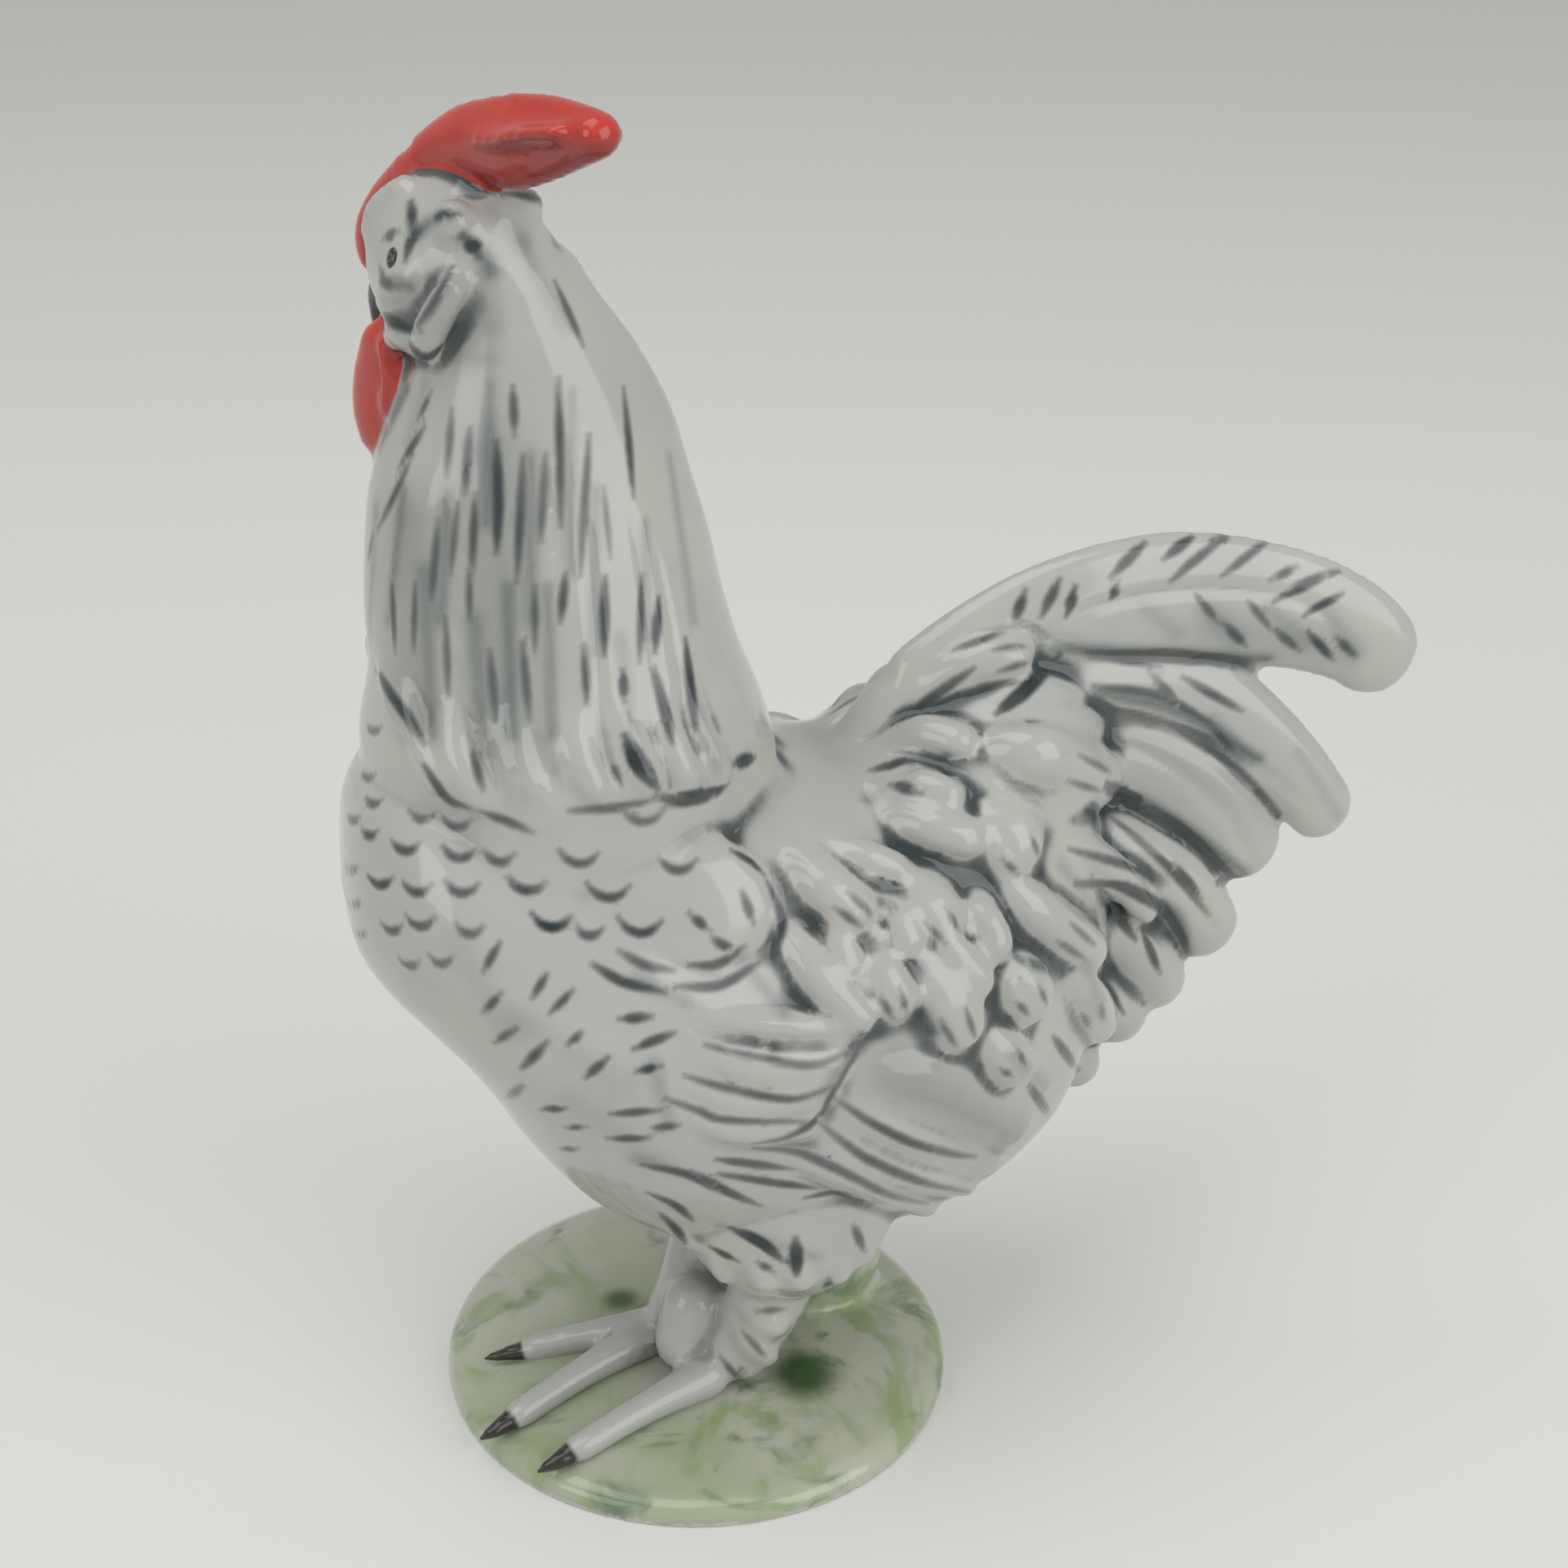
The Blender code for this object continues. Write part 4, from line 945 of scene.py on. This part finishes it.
def store_across(mesh, across, line):
    """Keeps the sign on faces beside one line only, so that no false line shows between two."""
    corners = np.empty(len(mesh.loops), np.int32)
    mesh.loops.foreach_get("vertex_index", corners)
    firsts = np.empty(len(mesh.polygons), np.int32)
    mesh.polygons.foreach_get("loop_start", firsts)
    least = np.minimum.reduceat(line[corners], firsts)
    most = np.maximum.reduceat(line[corners], firsts)
    between = np.repeat(least != most, np.diff(np.append(firsts, len(corners))))
    values = np.where(between, np.abs(across[corners]), across[corners])
    layer = mesh.attributes.new("ink_across", "FLOAT", "CORNER")
    layer.data.foreach_set("value", values.astype(np.float32))


def thumbed(tree, mesh, vertices):
    """The vertices moved towards the much eased surface along the thumbed lines, on both sides.

    Then all are eased a little, but for the claws and the head.
    """
    much = eased_field(vertices, edges_of(mesh), THUMB_ROUNDS)
    share = np.zeros(len(vertices))
    for half, *line in THUMBED:
        pixels = curve(paired(line), THUMB_SAMPLES, eased_ends=False)
        seats = [seated(tree, *pixel) for pixel in pixels]
        points = np.array([seat[0] for seat in seats if seat])
        for point in np.concatenate((points, mirrored(points))):
            reach = np.linalg.norm(vertices - point, axis=1) / (half * PIXEL)
            share = np.maximum(share, 1.15 * np.exp(-(reach**2)))
    vertices = vertices + (much - vertices) * share.clip(0, 1)[:, None]
    little = eased_field(vertices, edges_of(mesh), GLAZE_ROUNDS)
    height = vertices[:, 2:]
    crisp = ((height < CRISP_BELOW) | (height > CRISP_ABOVE)).astype(float)
    return little + (vertices - little) * crisp


def smudged_and_shaded(tree, vertices):
    """How much soft ink wash and painted shade lies on each vertex: the smudges' bells, each laid
    over the others.
    """
    clear = np.ones(len(vertices))
    for half, strength, lines in SMUDGES_AND_SHADE:
        for line in lines:
            count = max(6, int(length_of(line) / SMUDGE_STEP))
            pixels = curve(line, count, eased_ends=False)
            seats = [seated(tree, *pixel) for pixel in pixels]
            points = np.array([seat[0] for seat in seats if seat])
            if len(points) < 2:
                continue
            reach = np.full(len(vertices), 1.0)
            for point in points:
                reach = np.minimum(reach, np.linalg.norm(vertices - point, axis=1))
            clear *= 1 - strength * np.exp(-((reach / (half * PIXEL)) ** 2))
    return 1 - clear


class Shade:
    """A material's node tree, with short ways to add and join its nodes."""

    def __init__(self, name):
        self.material = bpy.data.materials.new(name)
        self.material.use_nodes = True
        self.tree = self.material.node_tree
        self.shader = self.tree.nodes["Principled BSDF"]

    def node(self, kind, **settings):
        made = self.tree.nodes.new(kind)
        for key, value in settings.items():
            setattr(made, key, value)
        return made

    def join(self, source, target):
        self.tree.links.new(source, target)
        return target

    def value(self, operation, first, second=0.0):
        made = self.node("ShaderNodeMath", operation=operation)
        for socket, given in zip(made.inputs, (first, second)):
            if isinstance(given, (int, float)):
                socket.default_value = given
            else:
                self.join(given, socket)
        return made.outputs[0]

    def attribute(self, name):
        return self.node("ShaderNodeAttribute", attribute_name=name).outputs["Fac"]

    def noise(self, scale, detail=3.0, stretch=(1, 1, 1), twist=0.0):
        place = self.node("ShaderNodeTexCoord").outputs["Object"]
        mapping = self.node("ShaderNodeMapping")
        mapping.inputs["Scale"].default_value = stretch
        self.join(place, mapping.inputs["Vector"])
        made = self.node("ShaderNodeTexNoise")
        made.inputs["Scale"].default_value = scale
        made.inputs["Distortion"].default_value = twist
        made.inputs["Detail"].default_value = detail
        self.join(mapping.outputs["Vector"], made.inputs["Vector"])
        return made.outputs["Fac"]

    def between(self, field, low, high, start=0.0, end=1.0):
        """A smooth step of a field from low to high."""
        made = self.node("ShaderNodeMapRange", interpolation_type="SMOOTHSTEP")
        for name, number in (
            ("From Min", low),
            ("From Max", high),
            ("To Min", start),
            ("To Max", end),
        ):
            made.inputs[name].default_value = number
        self.join(field, made.inputs["Value"])
        return made.outputs["Result"]

    def mixed(self, share, first, second):
        made = self.node("ShaderNodeMix", data_type="RGBA")
        colours = [socket for socket in made.inputs if socket.type == "RGBA"]
        self.join(share, made.inputs[0])
        for socket, given in zip(colours, (first, second)):
            if isinstance(given, tuple):
                socket.default_value = (*given, 1)
            else:
                self.join(given, socket)
        return next(socket for socket in made.outputs if socket.type == "RGBA")

    def gloss(self, roughness, coat, specular=0.5):
        self.shader.inputs["Roughness"].default_value = roughness
        self.shader.inputs["Coat Weight"].default_value = coat
        self.shader.inputs["Coat Roughness"].default_value = 0.04
        self.shader.inputs["Specular IOR Level"].default_value = specular


def paint(name, description, colour):
    return bpy.props.FloatVectorProperty(
        name=name, description=description, default=colour, subtype="COLOR", size=3
    )


def amount(name, description, default, unit="NONE"):
    return bpy.props.FloatProperty(name=name, description=description, default=default, unit=unit)


class RoosterSettings(bpy.types.PropertyGroup):
    """Sizes and colours of the glazed bird."""

    grid: amount("Skin Grid", "Spacing of the skin's vertices", 0.66 * MM, "LENGTH")
    glaze: paint("Glaze", "Colour of the clear grey-white glaze", (0.465, 0.468, 0.448))
    # This ink colour also darkens creases, as pooled ink and painted shade
    ink: paint("Ink", "Colour of the feather strokes under the glaze", (0.012, 0.024, 0.026))
    comb: paint("Comb", "Colour of the comb and the wattles", (0.58, 0.045, 0.03))
    claw: paint("Beak and Claws", "Colour of the beak and the claws", (0.035, 0.028, 0.02))


class MoundSettings(bpy.types.PropertyGroup):
    """Colours of the mound."""

    grid: amount("Skin Grid", "Spacing of the mound's vertices", 0.6 * MM, "LENGTH")
    pale: paint("Pale Green", "Colour of the thin green wash", (0.40, 0.46, 0.31))
    deep: paint("Deep Green", "Colour where the green wash pools", (0.07, 0.16, 0.08))


class StageSettings(bpy.types.PropertyGroup):
    """The pale floor and the soft lights."""

    floor: paint("Floor", "Colour of the floor", (0.72, 0.72, 0.695))
    lift: amount("Floor Lift", "How much the floor is lifted towards white where it is seen", 0.14)
    key_power: amount("Window Light", "Power of the large window light", 4.0, "POWER")
    fill_power: amount("Fill Light", "Power of the overhead light", 3.2, "POWER")


def bird_skins():
    """The forms of the bird by glaze: white, red and dark."""
    near, near_claws = leg(NEAR_ANKLE, NEAR_TOES, -1)
    far, far_claws = leg(FAR_ANKLE, FAR_TOES, 1)
    carcass = [trunk(), neck(), saddle(), shoulders()] + tail() + thighs()
    tree = tree_of(carcass)
    white = carcass + skull() + near + far + [boot()]
    for drawing, relief, flatness in RELIEFS:
        white += feathers(tree, drawing, relief * MM, flatness)
    white += feathers(tree_of(near), BOOTS, 1.5 * MM, 0.6, both_sides=False)
    return white, comb() + wattles(), beak() + near_claws + far_claws


def tip_strokes():
    """Two short strokes on each broad covert, a little in from the edges of its tip."""
    lines = []
    for *path, half in COVERTS:
        if half < BROAD_COVERT:
            continue
        _, middle, tip = paired(path)
        run = np.subtract(tip, middle)
        aside = np.array((-run[1], run[0])) / np.linalg.norm(run) * 0.42 * half
        for side in (-1, 1):
            lines.append(
                (middle + 0.45 * run + side * aside, middle + 0.92 * run + side * 0.8 * aside)
            )
    return ((*TIP_STROKE, tuple(lines)),)


def body_lines(tree):
    """All the brush strokes, laid; those of the turned head have no mirror image."""
    marks = tip_strokes()
    marks += tuple(
        (SCALLOP_HALF, dark, (scallop(x, y, width),)) for x, y, width, dark in SCALLOPS
    )
    body = NECK_INK + FRINGE_INK + WING_INK + BREAST_INK + TAIL_INK + marks + THIGH_INK
    groups = [laid(tree, body, mirrored), laid(tree, HEAD_INK, None)]
    return [np.concatenate(rows) for rows in zip(*groups)]


def ink_and_shade_pooling_of(vertices):
    """How strongly ink and painted shade gather in creases: most on coverts, tail and head, least
    on neck and feet.
    """
    rear, high, head = (
        np.clip((vertices[:, axis] - start * MM) / (span * MM), 0, 1)
        for axis, start, span in ((0, -12, 16), (2, 20, 8), (2, 122, 5))
    )
    return 0.25 + 0.75 * np.maximum(rear * high, 0.9 * head)


WARM_GLAZE = (0.51, 0.505, 0.468)
# Colour of the thin ink wash, and of the painted shade in broad hollows and smudges
INK_WASH_AND_SHADE = (0.07, 0.10, 0.10)
FOLDED_RED = (0.20, 0.012, 0.012)
THIN_RED = (0.62, 0.08, 0.05)
SHADED_RED = (0.15, 0.006, 0.005)


def porcelain(settings):
    """Clear glaze over white clay: ink in strokes, ink and painted shade in creases and broad
    hollows, red and dark zones by distance, painted shade on the red's undersides.
    """
    shade = Shade("glazed porcelain")
    brushed = shade.noise(900.0, 4.0)
    wobble = shade.value("MULTIPLY", shade.value("SUBTRACT", brushed, 0.5), 0.45)
    across = shade.value("ABSOLUTE", shade.attribute("ink_across"))
    past_end = shade.value("SUBTRACT", shade.attribute("ink_gap"), 0.26)
    outside = shade.value("MAXIMUM", across, past_end)
    edge = shade.value("SUBTRACT", outside, shade.attribute("ink_half"))
    edge = shade.value("ADD", edge, shade.value("MULTIPLY", wobble, 0.5))
    stroke = shade.between(edge, 0.50, -0.28)
    stroke = shade.value("MULTIPLY", stroke, shade.attribute("ink_strength"))
    crease = shade.value("ADD", shade.attribute("crease"), shade.value("MULTIPLY", wobble, 0.05))
    # Ink pooled in creases, and painted shade there
    crease_ink_and_shade = shade.value("MULTIPLY", shade.between(crease, 0.03, 0.12), shade.attribute("ink_and_shade_pooling"))
    # Thin ink and painted shade gathered in broad hollows
    wash = shade.between(shade.attribute("broad_crease"), 0.06, 0.50)
    wash = shade.value("MULTIPLY", wash, shade.attribute("ink_and_shade_pooling"))
    ink = shade.value("MAXIMUM", stroke, shade.value("MULTIPLY", crease_ink_and_shade, 0.64))
    patchy = shade.between(shade.noise(160.0, 2.0), 0.3, 0.7, 0.8, 1.0)
    ink = shade.value("MULTIPLY", ink, patchy)
    clear = shade.value("SUBTRACT", 1.0, ink)
    ink = shade.value("SUBTRACT", 1.0, shade.value("POWER", clear, 1.6))
    cloud = shade.between(shade.noise(60.0, 2.0), 0.35, 0.7)
    tint = shade.mixed(cloud, tuple(settings.glaze), WARM_GLAZE)
    # Smudges: thin ink washes, and broad painted shade on the neck, face, thigh and tail
    smudge_and_shade = shade.value("ADD", shade.attribute("smudge_and_shade"), shade.value("MULTIPLY", wobble, 0.12))
    wash = shade.value("MAXIMUM", wash, shade.between(smudge_and_shade, 0.04, 1.0))
    tint = shade.mixed(wash, tint, INK_WASH_AND_SHADE)
    colour = shade.mixed(ink, tint, tuple(settings.ink))
    fold = shade.between(shade.attribute("crease"), 0.05, 0.5)
    red = shade.mixed(fold, tuple(settings.comb), FOLDED_RED)
    red = shade.mixed(shade.between(shade.noise(180.0, 2.0), 0.5, 0.75, 0.0, 0.3), red, THIN_RED)
    # Painted shade: the red darkens where the surface faces down
    red = shade.mixed(shade.value("MULTIPLY", shade.attribute("under"), 0.75), red, SHADED_RED)
    colour = shade.mixed(shade.between(shade.attribute("red_edge"), 0.25, -0.25), colour, red)
    colour = shade.mixed(
        shade.between(shade.attribute("dark_edge"), 0.3, -0.2), colour, tuple(settings.claw)
    )
    shade.join(colour, shade.shader.inputs["Base Color"])
    shade.gloss(0.13, 0.25)
    return shade.material


CREAM = (0.52, 0.53, 0.44)
YELLOW_GREEN = (0.27, 0.37, 0.15)
POOLED_GREEN = (0.035, 0.085, 0.03)
BARE_CLAY = (0.62, 0.60, 0.56)


def mossy(settings):
    """Pale green wash with deeper pools, and bare clay underneath."""
    shade = Shade("green glaze")
    cream = shade.between(shade.noise(45.0, 2.0), 0.35, 0.65)
    colour = shade.mixed(cream, tuple(settings.pale), CREAM)
    thin = shade.between(shade.noise(62.0, 3.0, (1.3, 1.0, 1.0), 1.6), 0.48, 0.66, 0.0, 0.75)
    colour = shade.mixed(thin, colour, YELLOW_GREEN)
    swirl = shade.noise(58.0, 4.0, (1.0, 1.5, 1.0), 2.2)
    colour = shade.mixed(shade.between(swirl, 0.52, 0.72, 0.0, 0.8), colour, tuple(settings.deep))
    colour = shade.mixed(shade.between(shade.attribute("pool"), 0.2, 0.9), colour, POOLED_GREEN)
    colour = shade.mixed(shade.attribute("bare"), colour, BARE_CLAY)
    shade.join(colour, shade.shader.inputs["Base Color"])
    shade.gloss(0.16, 0.5)
    return shade.material


class FIGURINE_OT_bird(bpy.types.Operator):
    """Builds the glazed bird with its relief feathers and brush strokes."""

    bl_idname = "figurine.bird"
    bl_label = "Glazed Bird"

    def execute(self, context):
        settings = context.scene.rooster
        white, red, dark = bird_skins()
        piece = wrapped("glazed_bird", white + red + dark, settings.grid)
        mesh = piece.data
        tree = BVHTree.FromObject(piece, context.evaluated_depsgraph_get())
        vertices = vertices_of(mesh)
        normals = normals_of(mesh)
        vertices = thumbed(tree, mesh, vertices)
        gap, across, half, depth, _ = nearest_line(vertices, *laid(tree, GROOVES, mirrored))
        half = half + 0.3 * MM
        press = np.exp(-((across / half) ** 2)) * np.clip(3 - gap / half, 0, 1)
        vertices -= normals * (depth * PIXEL * press)[:, None]
        mesh.vertices.foreach_set("co", vertices.astype(np.float32).ravel())
        mesh.update()
        gap, across, half, strength, line = nearest_line(vertices, *body_lines(tree))
        store(mesh, "ink_gap", (gap / MM).clip(0, INK_REACH))
        store_across(mesh, (across / MM).clip(-INK_REACH, INK_REACH), line)
        store(mesh, "smudge_and_shade", smudged_and_shaded(tree, vertices))
        store(mesh, "ink_half", half / MM)
        store(mesh, "ink_strength", strength**0.6)
        store(mesh, "crease", hollowness(mesh, FINE_ROUNDS))
        store(mesh, "broad_crease", hollowness(mesh, BROAD_ROUNDS))
        # Where ink and painted shade in creases and hollows are strongest
        store(mesh, "ink_and_shade_pooling", ink_and_shade_pooling_of(vertices))
        trees = [tree_of(skins) for skins in (white, red, dark)]
        gaps = np.array([[t.find_nearest(v)[3] for t in trees] for v in map(Vector, vertices)]) / MM
        store(mesh, "red_edge", (gaps[:, 1] - gaps[:, 0]).clip(-1, 1))
        store(mesh, "dark_edge", (gaps[:, 2] - gaps[:, :2].min(axis=1)).clip(-1, 1))
        # Painted shade on the red: how far each vertex faces down
        store(mesh, "under", (0.35 - normals_of(mesh)[:, 2]).clip(0, 1))
        mesh.materials.clear()
        mesh.materials.append(porcelain(settings))
        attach(piece, "root")
        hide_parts("rooster")
        return {"FINISHED"}


class FIGURINE_OT_eyes(bpy.types.Operator):
    """Sets the two small painted eyes in the head."""

    bl_idname = "figurine.eyes"
    bl_label = "Painted Eyes"

    def execute(self, context):
        bird_mesh = bpy.data.objects["glazed_bird"]
        tree = BVHTree.FromObject(bird_mesh, context.evaluated_depsgraph_get())
        near = seated(tree, *NEAR_EYE)[0]
        far = np.array(tree.find_nearest(Vector(mirrored_head(near[None])[0]))[0])
        skins, rings = [], []
        for place, side in ((near, 1), (far, -1)):
            out = np.array(tree.find_nearest(Vector(place))[1])
            skins.append(self.eye(place, out))
            rings.append(np.linalg.norm(skins[-1][0] - place - out * 0.1 * MM, axis=1) / EYE_RADIUS)
        vertices, faces = joined(skins)
        mesh = bpy.data.meshes.new("painted_eyes")
        mesh.from_pydata(vertices.tolist(), [], faces.tolist())
        mesh.shade_smooth()
        piece = bpy.data.objects.new("painted_eyes", mesh)
        context.scene.collection.objects.link(piece)
        store(mesh, "ring", np.concatenate(rings))
        shade = Shade("painted eye")
        ring = shade.attribute("ring")
        pupil, iris = (0.008, 0.008, 0.008), (0.09, 0.10, 0.095)
        colour = shade.mixed(shade.between(ring, 0.34, 0.42), pupil, iris)
        colour = shade.mixed(shade.between(ring, 0.52, 0.62), colour, (0.01, 0.012, 0.012))
        shade.join(colour, shade.shader.inputs["Base Color"])
        shade.gloss(0.1, 0.8)
        mesh.materials.append(shade.material)
        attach(piece, "root")
        return {"FINISHED"}

    def eye(self, place, out):
        """A flat ellipsoid: a ring's radius is the sine, and its height the cosine, of its turn."""
        up = np.array((0.0, 0.0, 1.0))
        across = np.cross(up, out)
        across /= np.linalg.norm(across)
        up = np.cross(out, across)
        turn = np.linspace(0, np.pi, 24)[:, None, None]
        around = np.linspace(0, 2 * np.pi, 40, endpoint=False)[None, :, None]
        level = across * np.cos(around) * 0.82 + up * np.sin(around) * 1.1
        return closed_rings(
            place + EYE_RADIUS * (np.sin(turn) * level + 0.38 * np.cos(turn) * out)
        )


class FIGURINE_OT_mound(bpy.types.Operator):
    """Builds the green mound and the rock that carries the body."""

    bl_idname = "figurine.mound"
    bl_label = "Green Mound"

    def execute(self, context):
        settings = context.scene.mound
        piece = wrapped("green_mound", self.skins(), settings.grid)
        mesh = piece.data
        vertices = vertices_of(mesh)
        low = vertices[:, 2] < 0.0
        vertices[low, 2] = 0.0
        mesh.vertices.foreach_set("co", vertices.astype(np.float32).ravel())
        mesh.update()
        bare = (vertices[:, 2] < 0.35 * MM).astype(float)
        store(mesh, "bare", bare)
        spots = ((9.9, -13.5, 5.5), (-8.0, 6.0, 6.0), (3.0, 12.0, 5.0), (12.0, 2.0, 9.0))
        spots = np.array(spots) * MM
        spread = np.array((5.0, 3.0, 4.0, 5.0)) * MM
        reach = np.linalg.norm(vertices[:, None] - spots[None], axis=2) / spread
        store(mesh, "pool", np.exp(-(reach**2)).max(axis=1))
        mesh.materials.clear()
        mesh.materials.append(mossy(settings))
        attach(piece, "root")
        return {"FINISHED"}

    def skins(self):
        """A profile turned about the mound's axis and stretched to its oval, and the support."""
        below = -1.2 * MM
        profile = (
            (below, 0.0),
            (below, 0.97),
            (0.25 * MOUND_RIM, 1.0),
            (0.75 * MOUND_RIM, 0.985),
            (MOUND_RIM, 0.94),
            (MOUND_RIM + 0.45 * MOUND_RISE, 0.80),
            (MOUND_RIM + 0.85 * MOUND_RISE, 0.50),
            (MOUND_TOP, 0.0),
        )
        heights, shares = (np.array(row)[:, None, None] for row in zip(*profile))
        turn = np.linspace(0, 2 * np.pi, 120, endpoint=False)[None, :, None]
        along, across = (MOUND_LENGTH / 2, 0, 0), (0, MOUND_DEPTH / 2, 0)
        round_way = np.cos(turn) * along + np.sin(turn) * across
        skins = [closed_rings(shares * round_way + heights * np.array((0, 0, 1.0)))]
        foot = (MOUND_LENGTH * 0.24, MOUND_DEPTH * 0.10, 0)
        shoulder = (foot[0] + 0.1 * SUPPORT_RADIUS, foot[1], MOUND_TOP + GROUND_CLEARANCE * 0.45)
        seat = on_trunk(0.62, 0.16, 0.10)
        radii = np.array((1.75, 1.15, 1.0)) * SUPPORT_RADIUS
        skins.append(sweep([foot, shoulder, seat], radii, radii, around=36))
        return skins


class FIGURINE_OT_stage(bpy.types.Operator):
    """Sets the pale floor, the soft lights, the world and the camera."""

    bl_idname = "figurine.stage"
    bl_label = "Studio Stage"

    def execute(self, context):
        settings = context.scene.stage
        self.floor(context, settings)
        key, fill = settings.key_power, settings.fill_power
        self.light(context, "window", (0.62, -0.72, 0.42), (0.8, 0.9), key)
        self.light(context, "overhead", (-0.25, -0.10, 1.0), (0.9, 0.7), fill)
        self.light(context, "left_fill", (-0.85, -0.45, 0.45), (0.5, 0.6), fill * 0.5)
        self.world(context)
        self.camera(context)
        context.scene.view_settings.view_transform = "Standard"
        return {"FINISHED"}

    def floor(self, context, settings):
        mesh = bpy.data.meshes.new("floor")
        reach = 6.0
        corners = [(-reach, -reach, 0), (reach, -reach, 0), (reach, reach, 0), (-reach, reach, 0)]
        mesh.from_pydata(corners, [], [(0, 1, 2, 3)])
        floor = bpy.data.objects.new("floor", mesh)
        context.scene.collection.objects.link(floor)
        shade = Shade("floor paper")
        shade.shader.inputs["Base Color"].default_value = (*settings.floor, 1)
        shade.shader.inputs["Roughness"].default_value = 0.9
        shade.shader.inputs["Specular IOR Level"].default_value = 0.1
        rays = shade.node("ShaderNodeLightPath").outputs
        seen = shade.value("MAXIMUM", rays["Is Camera Ray"], rays["Is Glossy Ray"])
        seen = shade.value("MAXIMUM", seen, rays["Is Transmission Ray"])
        glow = shade.value("MULTIPLY", seen, settings.lift)
        shade.shader.inputs["Emission Color"].default_value = (*settings.floor, 1)
        shade.join(glow, shade.shader.inputs["Emission Strength"])
        mesh.materials.append(shade.material)

    def light(self, context, name, place, size, power):
        lamp = bpy.data.lights.new(name, "AREA")
        lamp.shape = "RECTANGLE"
        lamp.size, lamp.size_y = size
        lamp.energy = power
        holder = bpy.data.objects.new(name, lamp)
        context.scene.collection.objects.link(holder)
        holder.location = place
        aim = Vector((0, 0, 0.07)) - Vector(place)
        holder.rotation_euler = aim.to_track_quat("-Z", "Y").to_euler()

    def world(self, context):
        world = bpy.data.worlds.new("studio")
        context.scene.world = world
        world.use_nodes = True
        sky = world.node_tree.nodes["Background"]
        sky.inputs["Color"].default_value = (0.99, 0.99, 0.975, 1)
        sky.inputs["Strength"].default_value = 0.44

    def camera(self, context):
        lens = bpy.data.cameras.new("viewer")
        lens.sensor_width = 36.0
        lens.lens = lens.sensor_width * FOCAL_PIXELS / PICTURE
        lens.clip_start = 0.01
        viewer = bpy.data.objects.new("viewer", lens)
        context.scene.collection.objects.link(viewer)
        turned = Matrix(np.column_stack([RIGHT, UPWARD, -FORWARD]).tolist())
        viewer.matrix_world = Matrix.Translation(Vector(VIEWER)) @ turned.to_4x4()
        context.scene.camera = viewer


class FIGURINE_PT_panel(bpy.types.Panel):
    """Lists the pieces of the figurine."""

    bl_label = "Porcelain Rooster"
    bl_idname = "FIGURINE_PT_panel"
    bl_space_type = "VIEW_3D"
    bl_region_type = "UI"
    bl_category = "Rooster"

    def draw(self, context):
        scene = context.scene
        for settings, operators in (
            (scene.rooster, ("figurine.bird", "figurine.eyes")),
            (scene.mound, ("figurine.mound",)),
            (scene.stage, ("figurine.stage",)),
        ):
            box = self.layout.box()
            for key in settings.bl_rna.properties.keys():
                if key not in ("rna_type", "name"):
                    box.prop(settings, key)
            for operator in operators:
                box.operator(operator)


CLASSES = (
    RoosterSettings,
    MoundSettings,
    StageSettings,
    FIGURINE_OT_bird,
    FIGURINE_OT_eyes,
    FIGURINE_OT_mound,
    FIGURINE_OT_stage,
    FIGURINE_PT_panel,
)


def register():
    for item in CLASSES:
        bpy.utils.register_class(item)
    bpy.types.Scene.rooster = bpy.props.PointerProperty(type=RoosterSettings)
    bpy.types.Scene.mound = bpy.props.PointerProperty(type=MoundSettings)
    bpy.types.Scene.stage = bpy.props.PointerProperty(type=StageSettings)


def unregister():
    del bpy.types.Scene.rooster
    del bpy.types.Scene.mound
    del bpy.types.Scene.stage
    for item in reversed(CLASSES):
        bpy.utils.unregister_class(item)


def main():
    register()
    bpy.ops.figurine.bird()
    bpy.ops.figurine.eyes()
    bpy.ops.figurine.mound()
    bpy.ops.figurine.stage()


if __name__ == "__main__":
    main()
